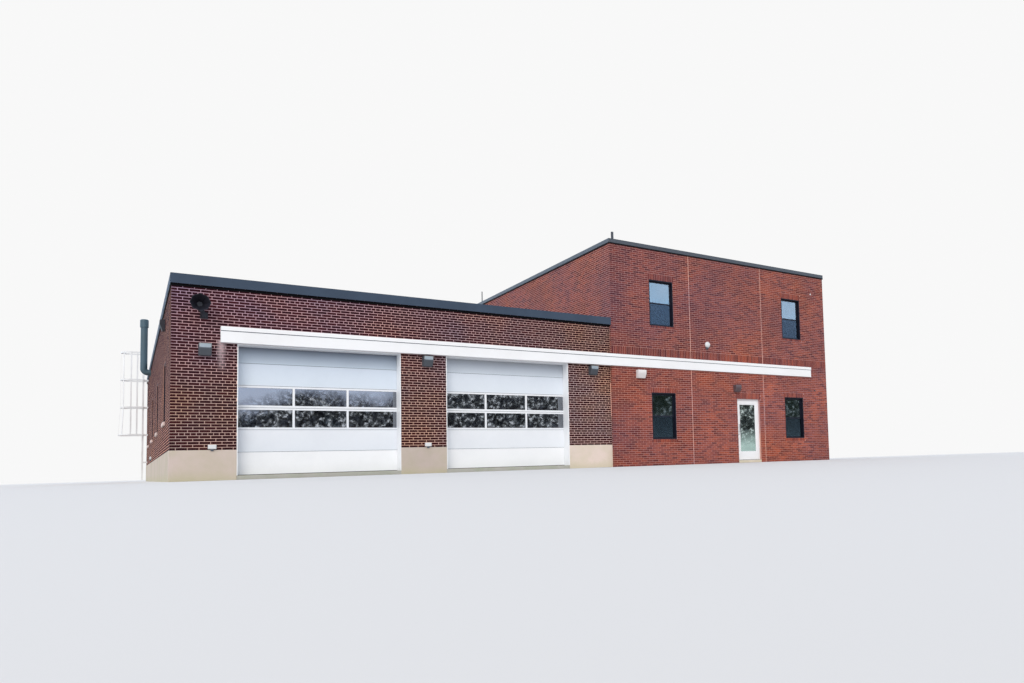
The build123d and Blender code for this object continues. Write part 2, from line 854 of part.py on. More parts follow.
# Exhaust stack: an elbow out of the wall, a riser and a wider cap
stack_x = xl - stack_off
with BuildPart() as exhaust_stack:
    with BuildLine():
        FilletPolyline(
            (xl, yf + stack_y, stack_low),
            (stack_x, yf + stack_y, stack_low),
            (stack_x, yf + stack_y, stack_cap_low),
            radius=stack_bend_r,
        )
    with BuildSketch(Plane(origin=(xl, yf + stack_y, stack_low), z_dir=(-1, 0, 0))):
        Circle(stack_r)
    sweep()
    with BuildSketch(Plane.XY.offset(stack_cap_low)):
        with Locations((stack_x, yf + stack_y)):
            Circle(stack_cap_r)
    extrude(amount=stack_cap_high - stack_cap_low)
    chamfer(exhaust_stack.edges().group_by(Axis.Z)[-1], length=stack_cap_chamfer)
    with BuildSketch(left_face):
        with Locations((-(yf + stack_y), stack_low)):
            Rectangle(stack_flange_w, stack_flange_w)
    extrude(amount=stack_flange_t)
save(exhaust_stack, "exhaust_stack")

# Roof ladder: two flat rails joined by round rungs, a wall bracket for each rail at the
# height of each hoop below the roof edge, and a lug beside each rail for every hoop
ladder_x = xl - ladder_off
ladder_mid = yf + ladder_y
rail_ys = (ladder_mid - ladder_w / 2, ladder_mid + ladder_w / 2)
rung_count = round((ladder_high - ladder_low) / rung_pitch)
rung_zs = [ladder_low + (i + 0.5) * rung_pitch for i in range(rung_count)]
cage_r = cage_w / 2
hoop_zs = [cage_low + i * cage_pitch for i in range(cage_hoops)]
hoop_rs = [cage_r + cage_flare] + [cage_r] * (cage_hoops - 1)
bracket_zs = [cage_low - cage_pitch] + [z for z in hoop_zs if z + hoop_h < fascia_low]
with BuildPart() as roof_ladder:
    with BuildSketch(Plane.XY.offset(ladder_low)):
        with Locations(*[(ladder_x, y) for y in rail_ys]):
            Rectangle(rail_w, rail_t)
    extrude(amount=ladder_high - ladder_low)
    with BuildSketch(Plane.XZ.offset(-rail_ys[0])):
        with Locations(*[(ladder_x, z) for z in rung_zs]):
            Circle(rung_r)
    extrude(amount=-ladder_w)
    with BuildSketch(left_face):
        for y in rail_ys:
            for z in bracket_zs:
                with Locations((-y, z)):
                    Rectangle(rail_t, hoop_h, align=foot)
    extrude(amount=ladder_off)
    for z, r in zip(hoop_zs, hoop_rs):
        with BuildSketch(Plane.XY.offset(z)):
            for y in (ladder_mid - r - hoop_t / 2, rail_ys[1] + rail_t / 2):
                with Locations((ladder_x - hoop_t / 2, y)):
                    Rectangle(hoop_t, r + (hoop_t - ladder_w - rail_t) / 2, align=low_corner)
        extrude(amount=hoop_h)
save(roof_ladder, "roof_ladder")

# Cage: flat hoops round the climber, spliced into five lengths, with upright bars inside them
cage_x = ladder_x - cage_d + cage_r
bar_r = cage_r - (hoop_t + cage_bar_t) / 2
flank_xs = (cage_x + cage_bar_w / 2, (ladder_x + cage_x + cage_bar_w / 2) / 2)
cage_bars = [(x, angle) for x in flank_xs for angle in (90, 270)]
cage_bars += [(cage_x, 180 + i * cage_bar_turn) for i in (-1, 0, 1)]
cage_high = hoop_zs[-1] + hoop_h
with BuildPart() as ladder_cage:
    for z, r in zip(hoop_zs, hoop_rs):
        with BuildSketch(Plane.XY.offset(z)):
            with BuildLine():
                Line((ladder_x - hoop_t / 2, ladder_mid - r), (cage_x, ladder_mid - r))
                CenterArc((cage_x, ladder_mid), r, 270, -180)
                Line((cage_x, ladder_mid + r), (ladder_x - hoop_t / 2, ladder_mid + r))
            trace(line_width=hoop_t)
        extrude(amount=hoop_h)
    for x, angle in cage_bars:
        out = Vector(1, 0, 0).rotate(Axis.Z, angle)
        with BuildSketch(Plane(origin=(x, ladder_mid, 0), x_dir=out, z_dir=out.cross(Vector(0, 0, 1)))):
            with BuildLine():
                Polyline(
                    (bar_r + cage_flare, hoop_zs[0]),
                    (bar_r + cage_flare, hoop_zs[0] + hoop_h),
                    (bar_r, hoop_zs[1]),
                    (bar_r, cage_high),
                )
            trace(line_width=cage_bar_t)
        extrude(amount=cage_bar_w / 2, both=True)
    for turn in (90, 180 - splice_turn, 180 + splice_turn, 270):
        with Locations(Location((cage_x, ladder_mid, cage_low), (0, 0, turn))):
            Box(
                left_reach,
                seat_gap,
                cage_high - cage_low,
                align=(Align.MIN, Align.CENTER, Align.MIN),
                mode=Mode.SUBTRACT,
            )
save(ladder_cage, "ladder_cage")

# Masts near the front corner and half way along the left roof edge, cut to the coping's slope
with BuildPart() as roof_masts:
    for x, y, r, h in ((stub_x, stub_y, stub_r, stub_h), (mast_x, mast_y, mast_r, mast_h)):
        with BuildSketch(Plane.XY.offset(coping_high - fascia_fall)):
            with Locations((xm + x, yk + y)):
                Circle(r)
        extrude(amount=h + fascia_fall)
    add(block_coping.part, mode=Mode.SUBTRACT)
save(roof_masts, "roof_masts")
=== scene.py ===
"""Finishes a two-bay fire station: laid brick, sheet metal, doors, glass, fittings and the stage."""
import math
import random

import bmesh
import bpy
from mathutils import Matrix, Vector


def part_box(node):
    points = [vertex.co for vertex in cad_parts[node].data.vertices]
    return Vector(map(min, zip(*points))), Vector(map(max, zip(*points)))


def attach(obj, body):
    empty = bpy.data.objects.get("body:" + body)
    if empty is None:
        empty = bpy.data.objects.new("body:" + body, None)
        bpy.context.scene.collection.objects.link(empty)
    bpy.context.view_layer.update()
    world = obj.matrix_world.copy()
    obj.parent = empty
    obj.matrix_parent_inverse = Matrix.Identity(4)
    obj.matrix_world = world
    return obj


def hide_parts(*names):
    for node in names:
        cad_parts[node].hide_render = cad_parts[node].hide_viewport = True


bl_info = {
    "name": "Fire station finishes",
    "version": (1, 0, 0),
    "blender": (4, 5, 0),
    "location": "3D View > Sidebar > Station",
    "description": "Lays the brick and finishes every surface of a two-bay fire station",
    "category": "Object",
}

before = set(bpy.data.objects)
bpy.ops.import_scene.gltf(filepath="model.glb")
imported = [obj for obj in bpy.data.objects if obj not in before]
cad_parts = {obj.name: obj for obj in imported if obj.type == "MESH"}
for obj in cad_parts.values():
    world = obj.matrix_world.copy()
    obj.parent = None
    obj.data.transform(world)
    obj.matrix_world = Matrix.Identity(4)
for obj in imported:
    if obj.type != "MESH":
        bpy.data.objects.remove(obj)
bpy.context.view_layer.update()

# Faces and levels of the building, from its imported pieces
bay_front_low, bay_front_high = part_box("bay_header_wall")
piers_low, piers_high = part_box("bay_piers")
block_left_low, block_left_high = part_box("front_wall_left")
over_door_low, over_door_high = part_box("front_wall_over_door")
deck_low, deck_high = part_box("bay_roof")
block_deck_low, block_deck_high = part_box("block_roof")
fascia_low, fascia_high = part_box("bay_fascia")
coping_low, coping_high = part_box("block_coping")
band_low, band_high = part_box("front_band")
left_door_low, left_door_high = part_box("left_overhead_door")
right_door_low, right_door_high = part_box("right_overhead_door")
pane_low, pane_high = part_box("entry_door_glass")

left_x = bay_front_low.x
step_x = block_left_low.x
right_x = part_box("front_wall_right")[1].x
bay_y = bay_front_low.y
block_y = block_left_low.y
back_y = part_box("block_back_wall")[1].y
base_top = piers_low.z
bay_top = bay_front_high.z
block_top = block_left_high.z

# Doorways of the engine bay, as (left, right), from the bay's left corner
door_side_overlap = 0.03
bay_doors = [
    (low.x + door_side_overlap - left_x, high.x - door_side_overlap - left_x)
    for low, high in ((left_door_low, left_door_high), (right_door_low, right_door_high))
]
bay_door_head = piers_high.z

# Windows: (middle, foot) along each face, and their sizes
block_win = (0.960, 1.530)
block_sills = (0.855, 4.602)
block_win_xs = (1.950, 7.890)
side_win = (1.070, 1.650)
side_win_foot = 1.420
side_win_ys = tuple(3.200 + 5.300 * i for i in range(4))
back_win_xs = (3.800, 11.412 - 3.800)
win_recess = 0.080

# Brick courses
course = 0.0675
stretcher = 0.222
soldier_low = band_high.z + 0.004
soldier_h = course * round(soldier_low / course + 4) - soldier_low
head_h = 3 * course
head_over = 0.5 * course
brick_sill_h = 1.5 * course
sill_over = 0.5 * course
least_brick = 0.018
header_row = 6
block_joint_share = 0.8

# Lengths of the bricks at the ends of a course, as shares of a stretcher or of what is left
header_start = 0.75
even_start = 0.5
odd_start = 0.95
last_but_one = 0.64
longest_closer = 1.35

# How far bricks stand out, as shares of the relief
plain_stand = 1.0
sill_stand = 1.6
flush = 0.35
least_stand = 0.75

# Movement joints of the crew block's front, from the bay's left corner, and the bay's shorter one
joint_places = (14.518, 17.784)
joint_w = 0.014
joint_stand = 0.9
end_joint_w = 1.4 * joint_w
end_joint_span = (0.36, 0.78)
end_joint_stand = 1.3

# Sheet metal of the roof edge and the coping
lip_trim = 0.036
# The drips under the roof edge and the coping are near-black strips, a painted shadow line.
drip_line = 0.036
drip_t = 0.002
drip_h = 0.045
drip_out = 0.03
side_drip = 0.024
side_trim = 0.072
sheet_len = 3.05
lap_w = 0.1
lap_t = 0.0012

# Roof sheet
upstand_t = 0.004
seam_gap = 3.0
seam_w = 0.08
seam_t = 0.003

# Band, and the seams of the overhead doors
cap_h = 0.095
cap_over = 0.018
# The band's groove and the doors' section seams are drawn as thin grey strips whose colour is painted shade
# inside the recess.
groove_h = 0.016
groove_t = 0.001
section_seam_h = 0.007
section_seam_t = 0.0008

# Window trim and the entry door's beads
panning_w = 0.032
panning_set = 0.004
screen_t = 0.001
screen_edge = 0.045
screen_set = win_recess + 0.012
screen_rim = 0.02
rail_h = 0.046
rail_t = 0.006
bead_w = 0.03
bead_t = 0.006

# Lamps: shares of the upper part and of the rake, and the lens in its rim
lamp_hood = 0.45
lamp_rake = 0.45
lamp_round = 0.006
flood_slim = 0.78
rim_edge = 0.008
rim_out = 0.003
lens_edge = 0.026
lens_out = 0.006
lens_round = 0.004
rim_foot = 0.3
lens_foot = 0.34
lens_set = 0.3

# Outlet covers and their plugs
cover_round = 0.006
lid_edge = 0.014
lid_out = 0.006
lid_in = 0.01
lid_round = 0.003
plug_w = 0.06
plug_drop = 0.045
plug_rise = 0.01
plug_round = 0.008
plug_set = 0.012

# Small round caps on the crew block's front, by finish, place and radius
small_caps = (
    ("vent_cap", "box_white", (8.99, 6.44), 0.032),
    ("hose_cap", "mast_dark", (9.01, 2.685), 0.036),
)

# Height from which the bay's front has a cooler cast, and how far the block's tone changes along it
cast_from = 2.9
block_tone_reach = 4.5

# The pale run under the band's left end
wash_run = {"Middle": band_low.x + 0.02, "Width": 0.11, "Top": band_low.z + 0.06, "Length": 0.75}

# Where the key light comes from, and how wide it spreads in degrees
sun_from = (-0.5, -0.85, 0.62)
sun_spread = 36

# Surrounding that glass and metal mirror: heights of its dark edge, and how dim it is, by place
edge_heights = ((0.1, 0.076), (0.17, 0.088), (0.26, 0.09), (0.34, 0.135))
dim_places = ((0.48, 0.0), (0.54, 0.65), (0.6, 0.65), (0.63, 0.1), (0.665, 0.1), (0.69, 0.65))

# Corners nearer than this are one
merge_dist = 0.00001

random.seed(7)


def tint(red, green, blue):
    """A linear colour from the three values of a colour picker, 0 to 255."""
    shares = (red / 255, green / 255, blue / 255)
    return tuple(((v + 0.055) / 1.055) ** 2.4 if v > 0.04045 else v / 12.92 for v in shares)


def colour(values):
    """A node colour from three linear values."""
    return (*values, 1.0)


def face_at(x, y, turn):
    """A wall face's own frame: x to the viewer's right, y up and z outwards, turned about the vertical."""
    upright = Matrix(((1, 0, 0, 0), (0, 0, -1, 0), (0, 1, 0, 0), (0, 0, 0, 1)))
    return Matrix.Translation((x, y, 0)) @ Matrix.Rotation(math.radians(turn), 4, "Z") @ upright


def window_holes(spots, size):
    """Openings (x0, z0, x1, z1) of windows given by the middle of their foot."""
    w, h = size
    return [(x - w / 2, z, x + w / 2, z + h) for x, z in spots]


# Sizes and faces of the walls, and the openings in each face
bay_w = step_x - left_x
block_w = right_x - step_x
depth = back_y - bay_y
block_depth = back_y - block_y
bay_face = face_at(left_x, bay_y, 0)
bay_side_face = face_at(left_x, back_y, -90)
bay_back_face = face_at(step_x, back_y, 180)
block_face = face_at(step_x, block_y, 0)
block_side_face = face_at(right_x, block_y, 90)
block_back_face = face_at(right_x, back_y, 180)
block_left_face = face_at(step_x, back_y, -90)
bay_side_holes = window_holes([(depth - y, side_win_foot) for y in side_win_ys], side_win)
bay_back_holes = window_holes([(x, side_win_foot) for x in back_win_xs], side_win)
block_front_holes = window_holes([(x, z) for x in block_win_xs for z in block_sills], block_win)
block_side_holes = window_holes(
    [(y + bay_y - block_y, z) for y in side_win_ys for z in block_sills], block_win
)
block_back_holes = window_holes([(block_w - x, z) for x in block_win_xs for z in block_sills], block_win)
doorway = (over_door_low.x - step_x, -1.0, over_door_high.x - step_x, over_door_low.z)
joint_xs = [x - bay_w for x in joint_places]


class StationBrick(bpy.types.PropertyGroup):
    """Sizes and colours of the laid brick."""

    joint: bpy.props.FloatProperty(
        name="Mortar joint", description="Width of the joints between bricks", default=0.0125, unit="LENGTH"
    )
    relief: bpy.props.FloatProperty(
        name="Brick relief", description="How far the bricks stand out of the mortar", default=0.006,
        unit="LENGTH",
    )
    bay_colour: bpy.props.FloatVectorProperty(
        name="Bay brick", description="Main colour of the engine bay's brick", default=tint(52, 16, 20),
        subtype="COLOR",
    )
    bay_mortar: bpy.props.FloatVectorProperty(
        name="Bay mortar", description="Colour of the engine bay's mortar", default=tint(218, 180, 162),
        subtype="COLOR",
    )
    block_colour: bpy.props.FloatVectorProperty(
        name="Block brick", description="Main colour of the crew block's brick", default=tint(138, 73, 65),
        subtype="COLOR",
    )
    block_mortar: bpy.props.FloatVectorProperty(
        name="Block mortar", description="Colour of the crew block's mortar", default=tint(200, 156, 150),
        subtype="COLOR",
    )


class StationMetal(bpy.types.PropertyGroup):
    """Colours of the metalwork and the painted trim."""

    roof_edge: bpy.props.FloatVectorProperty(
        name="Roof edge", description="Colour of the engine bay's roof edge", default=tint(65, 78, 95),
        subtype="COLOR",
    )
    coping: bpy.props.FloatVectorProperty(
        name="Coping", description="Colour of the crew block's coping", default=tint(62, 66, 72),
        subtype="COLOR",
    )
    white: bpy.props.FloatVectorProperty(
        name="White paint", description="Colour of the doors, band and trim", default=tint(243, 244, 246),
        subtype="COLOR",
    )
    window: bpy.props.FloatVectorProperty(
        name="Window frames", description="Colour of the window frames", default=tint(23, 24, 36),
        subtype="COLOR",
    )
    stack: bpy.props.FloatVectorProperty(
        name="Stack", description="Colour of the exhaust stack", default=tint(62, 86, 98), subtype="COLOR"
    )


class StationStage(bpy.types.PropertyGroup):
    """The camera, the lights and the floor."""

    camera_place: bpy.props.FloatVectorProperty(
        name="Camera place", description="From the bay's front left corner at the ground",
        default=(-0.78977, -20.67274, 0.06542), subtype="TRANSLATION",
    )
    camera_turn: bpy.props.FloatVectorProperty(
        name="Camera turn", description="Yaw, pitch and roll in degrees", default=(37.2154, 3.7069, -1.8336)
    )
    focal_px: bpy.props.FloatProperty(
        name="Focal length", description="In pixels of the picture", default=758.73
    )
    middle_px: bpy.props.FloatVectorProperty(
        name="Optical middle", description="In pixels of the picture", default=(700.0, 412.94), size=2
    )
    sun: bpy.props.FloatProperty(name="Sun", description="Strength of the soft key light", default=1.35)
    sky: bpy.props.FloatProperty(name="Sky", description="Strength of the light from all round", default=1.0)
    floor: bpy.props.FloatVectorProperty(
        name="Floor", description="Colour of the floor", default=tint(222, 223, 225), subtype="COLOR"
    )


def add(tree, kind, inputs=None, **settings):
    """Adds a node, sets it, and fills or links its inputs by name or number."""
    node = tree.nodes.new(kind)
    for key, value in settings.items():
        setattr(node, key, value)
    for key, value in (inputs or {}).items():
        if isinstance(value, bpy.types.NodeSocket):
            tree.links.new(value, node.inputs[key])
        else:
            node.inputs[key].default_value = value
    return node


def maths(tree, operation, first, second=0.0, clamp=False):
    """The output of one math node."""
    return add(tree, "ShaderNodeMath", {0: first, 1: second}, operation=operation, use_clamp=clamp).outputs[0]


def product(tree, *values):
    """The product of several values."""
    whole = values[0]
    for value in values[1:]:
        whole = maths(tree, "MULTIPLY", whole, value)
    return whole


def less(tree, value, whole=1.0, clamp=False):
    """What is left of a whole when a value is taken away."""
    return maths(tree, "SUBTRACT", whole, value, clamp=clamp)


def spread(tree, value, reach=(0.0, 1.0), to=(0.0, 1.0)):
    """A value moved from one range to another, and kept inside it."""
    inputs = {"Value": value, 1: reach[0], 2: reach[1], 3: to[0], 4: to[1]}
    return add(tree, "ShaderNodeMapRange", inputs).outputs[0]


def axes(tree, spot):
    """The X, Y and Z of a place."""
    return add(tree, "ShaderNodeSeparateXYZ", {0: spot}).outputs


def mixed(tree, share, first, second, blend="MIX"):
    """The colour output of one mix node."""
    node = add(tree, "ShaderNodeMix", {"Factor": share}, data_type="RGBA", blend_type=blend)
    for socket, value in ((node.inputs[6], first), (node.inputs[7], second)):
        if isinstance(value, bpy.types.NodeSocket):
            tree.links.new(value, socket)
        else:
            socket.default_value = value
    return node.outputs[2]


def tinted(tree, shade, other):
    """A colour multiplied by another."""
    return mixed(tree, 1.0, shade, other, "MULTIPLY")


def ramp(tree, value, stops):
    """The colour output of a ramp with (place, colour) stops."""
    node = add(tree, "ShaderNodeValToRGB", {"Fac": value})
    band = node.color_ramp
    band.elements[0].position = stops[0][0]
    band.elements[1].position = stops[-1][0]
    for place, shade in stops[1:-1]:
        band.elements.new(place)
    for element, (place, shade) in zip(band.elements, stops):
        element.color = shade if len(shade) == 4 else (*shade, 1.0)
    return node.outputs["Color"]


def grey(value):
    """A grey node colour."""
    return (value, value, value, 1.0)


def object_place(tree, scale=(1.0, 1.0, 1.0)):
    """Object coordinates, scaled."""
    spot = add(tree, "ShaderNodeTexCoord").outputs["Object"]
    return add(tree, "ShaderNodeMapping", {"Vector": spot, "Scale": scale}).outputs["Vector"]


def noise(tree, spot, scale, detail=3.0, rough=0.5, output="Fac"):
    """One output of a noise texture."""
    settings = {"Vector": spot, "Scale": scale, "Detail": detail, "Roughness": rough}
    return add(tree, "ShaderNodeTexNoise", settings).outputs[output]


def new_group(name, inputs, outputs):
    """A shader node group with named inputs (name, kind, default) and outputs (name, kind)."""
    tree = bpy.data.node_groups.new(name, "ShaderNodeTree")
    kinds = {"colour": "NodeSocketColor", "value": "NodeSocketFloat"}
    for label, kind, default in inputs:
        socket = tree.interface.new_socket(label, in_out="INPUT", socket_type=kinds[kind])
        socket.default_value = default
    for label, kind in outputs:
        tree.interface.new_socket(label, in_out="OUTPUT", socket_type=kinds[kind])
    return tree, tree.nodes.new("NodeGroupInput"), tree.nodes.new("NodeGroupOutput")


def group_once(name, make):
    """A node group by name, made the first time it is asked for."""
    return bpy.data.node_groups.get(name) or make(name)


def make_weather(name):
    """Weather: broad patches of dirt, fine speckle, and a darker foot near the ground."""
    tree, start, end = new_group(
        name,
        (
            ("Color", "colour", grey(0.5)),
            ("Dirt", "colour", grey(0.2)),
            ("Amount", "value", 0.3),
            ("Patch Scale", "value", 0.8),
            ("Speckle", "value", 0.1),
            ("Foot", "value", 0.3),
            ("Foot Height", "value", 0.5),
        ),
        (("Color", "colour"),),
    )
    spot = object_place(tree)
    patch = noise(tree, spot, start.outputs["Patch Scale"], 5.0, 0.6)
    patch = spread(tree, patch, (0.42, 0.72))
    fine = noise(tree, spot, 55.0, 3.0, 0.6)
    fine = spread(tree, fine, (0.35, 0.65), (-1.0, 1.0))
    height = axes(tree, spot)["Z"]
    wobble = product(tree, noise(tree, spot, 2.5, 3.0), start.outputs["Foot Height"])
    reach = maths(tree, "ADD", wobble, start.outputs["Foot Height"])
    foot = less(tree, maths(tree, "DIVIDE", height, reach), clamp=True)
    mask = product(tree, patch, start.outputs["Amount"])
    mask = maths(tree, "ADD", mask, product(tree, foot, start.outputs["Foot"]))
    mask = maths(tree, "ADD", mask, product(tree, fine, start.outputs["Speckle"]), clamp=True)
    shade = mixed(tree, mask, start.outputs["Color"], start.outputs["Dirt"])
    tree.links.new(shade, end.inputs["Color"])
    return tree


def weather(tree, base, dirt, amount=0.3, patch=0.8, speckle=0.1, foot=0.3, foot_h=0.5):
    """Places the weather group and gives back its colour."""
    node = add(tree, "ShaderNodeGroup", node_tree=group_once("Station weather", make_weather))
    values = (base, dirt, amount, patch, speckle, foot, foot_h)
    for socket, value in zip(node.inputs, values):
        if isinstance(value, bpy.types.NodeSocket):
            tree.links.new(value, socket)
        else:
            socket.default_value = value
    return node.outputs["Color"]


def new_material(name):
    """A material with its tree and its main shader."""
    material = bpy.data.materials.new(name)
    material.use_nodes = True
    tree = material.node_tree
    return material, tree, tree.nodes["Principled BSDF"]


def bump(tree, shader, height, distance, strength=1.0):
    """Feeds a height to the shader's normal."""
    node = add(tree, "ShaderNodeBump", {"Height": height, "Distance": distance, "Strength": strength})
    tree.links.new(node.outputs["Normal"], shader.inputs["Normal"])


def across_front(tree, spot, tones, reach=None):
    """A tone that changes evenly from the left to the right of one length of the front."""
    low, high = reach or (left_x, step_x)
    place = axes(tree, spot)["X"]
    share = spread(tree, place, (low, high))
    return mixed(tree, share, colour(tones[0]), colour(tones[1]))


def drifted(tree, spot, shade):
    """Slow drifts of hue along a wall, from a brown cast to a cooler one."""
    share = noise(tree, spot, 0.6, 3.0, 0.55)
    share = spread(tree, share, (0.34, 0.66))
    hue = mixed(tree, share, colour((1.1, 1.0, 0.84)), colour((0.9, 1.0, 1.14)))
    return tinted(tree, shade, hue)


def upper_cast(tree, spot, shade, front, above, casts):
    """Gives the front wall a cast above a height, with a ragged edge between."""
    parts = axes(tree, spot)
    height = maths(tree, "ADD", parts["Z"], product(tree, noise(tree, spot, 0.5, 3.0), 2.0))
    upper = spread(tree, height, (above + 0.3, above + 1.8))
    facing = maths(tree, "LESS_THAN", parts["Y"], front + 0.02)
    upper = product(tree, upper, facing)
    return mixed(tree, upper, shade, tinted(tree, shade, across_front(tree, spot, casts)))


def make_wash(name):
    """A pale run down the wall from one place: a narrow streak that fades towards its foot."""
    tree, start, end = new_group(
        name,
        (("Middle", "value", 0.0), ("Width", "value", 0.1), ("Top", "value", 3.0), ("Length", "value", 0.6)),
        (("Mask", "value"),),
    )
    spot = object_place(tree)
    parts = axes(tree, spot)
    wander = product(tree, maths(tree, "SUBTRACT", noise(tree, spot, 4.0), 0.5), 0.12)
    aside = maths(tree, "SUBTRACT", maths(tree, "ADD", parts["X"], wander), start.outputs["Middle"])
    aside = maths(tree, "DIVIDE", maths(tree, "ABSOLUTE", aside), start.outputs["Width"])
    down = maths(tree, "SUBTRACT", start.outputs["Top"], parts["Z"])
    down = maths(tree, "DIVIDE", down, start.outputs["Length"])
    above = maths(tree, "GREATER_THAN", down, 0.0)
    fade = less(tree, down, clamp=True)
    facing = maths(tree, "LESS_THAN", parts["Y"], bay_y + 0.02)
    mask = product(tree, less(tree, aside, clamp=True), fade, above, facing)
    tree.links.new(mask, end.inputs["Mask"])
    return tree


def washed(tree, shade):
    """Adds the pale run under the band's left end to a colour."""
    node = add(tree, "ShaderNodeGroup", node_tree=group_once("Station wash", make_wash))
    for key, value in wash_run.items():
        node.inputs[key].default_value = value
    return mixed(tree, node.outputs["Mask"], shade, colour(tint(206, 186, 190)))


def brick_material(name, main, dark, warm, cool, patch_scale, front, above, casts, tones, reach=None):
    """Fired clay: each brick has a tone of its own, with clusters and broad drifts of colour."""
    material, tree, shader = new_material(name)
    tone = add(tree, "ShaderNodeAttribute", attribute_name="tone").outputs["Fac"]
    spot = object_place(tree)
    cluster = noise(tree, spot, 2.6, 2.0, 0.5)
    pick = maths(tree, "ADD", product(tree, tone, 0.72), product(tree, cluster, 0.56))
    pick = maths(tree, "SUBTRACT", pick, 0.14)
    stops = ((0.04, cool), (0.2, dark), (0.38, main), (0.62, warm), (0.8, main), (0.96, dark))
    each = ramp(tree, pick, stops)
    drift = noise(tree, spot, patch_scale, 3.0, 0.55)
    drift = spread(tree, drift, (0.4, 0.66))
    each = mixed(tree, product(tree, drift, 0.5), each, colour(dark))
    each = drifted(tree, spot, upper_cast(tree, spot, each, front, above, casts))
    each = tinted(tree, each, across_front(tree, spot, tones, reach))
    fine = noise(tree, spot, 120.0, 4.0, 0.65)
    speck = spread(tree, fine, (0.3, 0.7), (0.8, 1.18))
    speck = add(tree, "ShaderNodeCombineColor", {0: speck, 1: speck, 2: speck}).outputs[0]
    each = tinted(tree, each, speck)
    shade = weather(tree, each, colour(tint(60, 48, 46)), 0.14, 0.45, speckle=0.04, foot=0.1, foot_h=0.35)
    tree.links.new(washed(tree, shade), shader.inputs["Base Color"])
    shader.inputs["Roughness"].default_value = 0.85
    shader.inputs["Specular IOR Level"].default_value = 0.15
    bump(tree, shader, fine, 0.0016, 0.8)
    return material


def mortar_material(name, main, dirt, casts=None, tones=None):
    """Sanded mortar between the bricks, with a cast of another colour high up."""
    material, tree, shader = new_material(name)
    spot = object_place(tree)
    sand = noise(tree, spot, 260.0, 3.0, 0.7)
    shade = weather(tree, colour(main), colour(dirt), 0.28, 0.6, foot=0.2, foot_h=0.4)
    shade = drifted(tree, spot, shade)
    if casts:
        shade = upper_cast(tree, spot, shade, bay_y, cast_from, casts)
        shade = tinted(tree, shade, across_front(tree, spot, tones))
    tree.links.new(shade, shader.inputs["Base Color"])
    shader.inputs["Roughness"].default_value = 0.92
    shader.inputs["Specular IOR Level"].default_value = 0.15
    bump(tree, shader, sand, 0.0015, 0.7)
    return material


def painted_material(
    name, main, dirt, rough, amount, foot=0.0, coat=0.0, wave=0.0, speckle=0.02, shine=0.5
):
    """Painted or coated metal, with faint dirt and a slight unevenness in its gloss."""
    material, tree, shader = new_material(name)
    spot = object_place(tree)
    shade = weather(tree, colour(main), colour(dirt), amount, 1.1, speckle, foot, 0.25)
    tree.links.new(shade, shader.inputs["Base Color"])
    gloss = spread(tree, noise(tree, spot, 6.0, 4.0, 0.6), to=(rough - 0.07, rough + 0.1))
    tree.links.new(gloss, shader.inputs["Roughness"])
    shader.inputs["Coat Weight"].default_value = coat
    shader.inputs["Specular IOR Level"].default_value = shine
    if wave:
        bump(tree, shader, noise(tree, spot, 2.2, 2.0, 0.4), wave)
    else:
        bump(tree, shader, noise(tree, spot, 180.0, 2.0, 0.5), 0.0003, 0.5)
    return material


def door_material(name, main):
    """Painted sheet metal whose upper sections carry painted shade, darkest under the doorway's head and
    milder on the right door.
    """
    material = painted_material(name, main, tint(196, 200, 204), 0.38, 0.14, foot=0.18, coat=0.15)
    tree = material.node_tree
    shader = tree.nodes["Principled BSDF"]
    clean = shader.inputs["Base Color"].links[0].from_socket
    height = axes(tree, object_place(tree))["Z"]
    seams = [low.z for low, high in sorted(solids_of("left_overhead_door"), key=lambda box: box[0].z)]
    share = spread(tree, height, (seams[0], bay_door_head))
    place = [(z - seams[0]) / (bay_door_head - seams[0]) for z in seams]
    edge, soft_edge = 0.003, 0.01
    # Painted shade: the upper sections grow darker and bluer towards the head, as if shadowed by it.
    head_shade = ramp(
        tree, share,
        (
            (0.0, (1.0, 1.0, 1.0)),
            (place[1] - edge, (1.0, 1.0, 1.0)),
            (place[1] + edge, (0.86, 0.89, 0.93)),
            (place[2], (0.9, 0.92, 0.95)),
            (place[4] - soft_edge, (0.97, 0.97, 0.98)),
            (place[4] + soft_edge, (0.77, 0.84, 0.91)),
            (place[5] - edge, (0.72, 0.79, 0.88)),
            (place[5] + edge, (0.6, 0.68, 0.76)),
            (0.94, (0.4, 0.46, 0.54)),
            (1.0, (0.13, 0.15, 0.2)),
        ),
    )
    # The painted shade is milder on the right door.
    between = (left_door_high.x, right_door_low.x)
    shade_eased = across_front(tree, object_place(tree), ((0.0, 0.0, 0.0), (0.3, 0.3, 0.3)), between)
    head_shade = mixed(tree, shade_eased, head_shade, grey(1.0))
    tree.links.new(tinted(tree, clean, head_shade), shader.inputs["Base Color"])
    return material


def plain_metal(name, main, rough, brushed=(1.0, 1.0, 1.0)):
    """Bare metal with a fine brushed or spangled grain."""
    material, tree, shader = new_material(name)
    grain = noise(tree, object_place(tree, brushed), 90.0, 4.0, 0.6)
    shade = mixed(tree, grain, colour([v * 0.8 for v in main]), colour(main))
    tree.links.new(shade, shader.inputs["Base Color"])
    shader.inputs["Metallic"].default_value = 1.0
    gloss = spread(tree, grain, to=(rough - 0.08, rough + 0.12))
    tree.links.new(gloss, shader.inputs["Roughness"])
    bump(tree, shader, grain, 0.0004, 0.5)
    return material


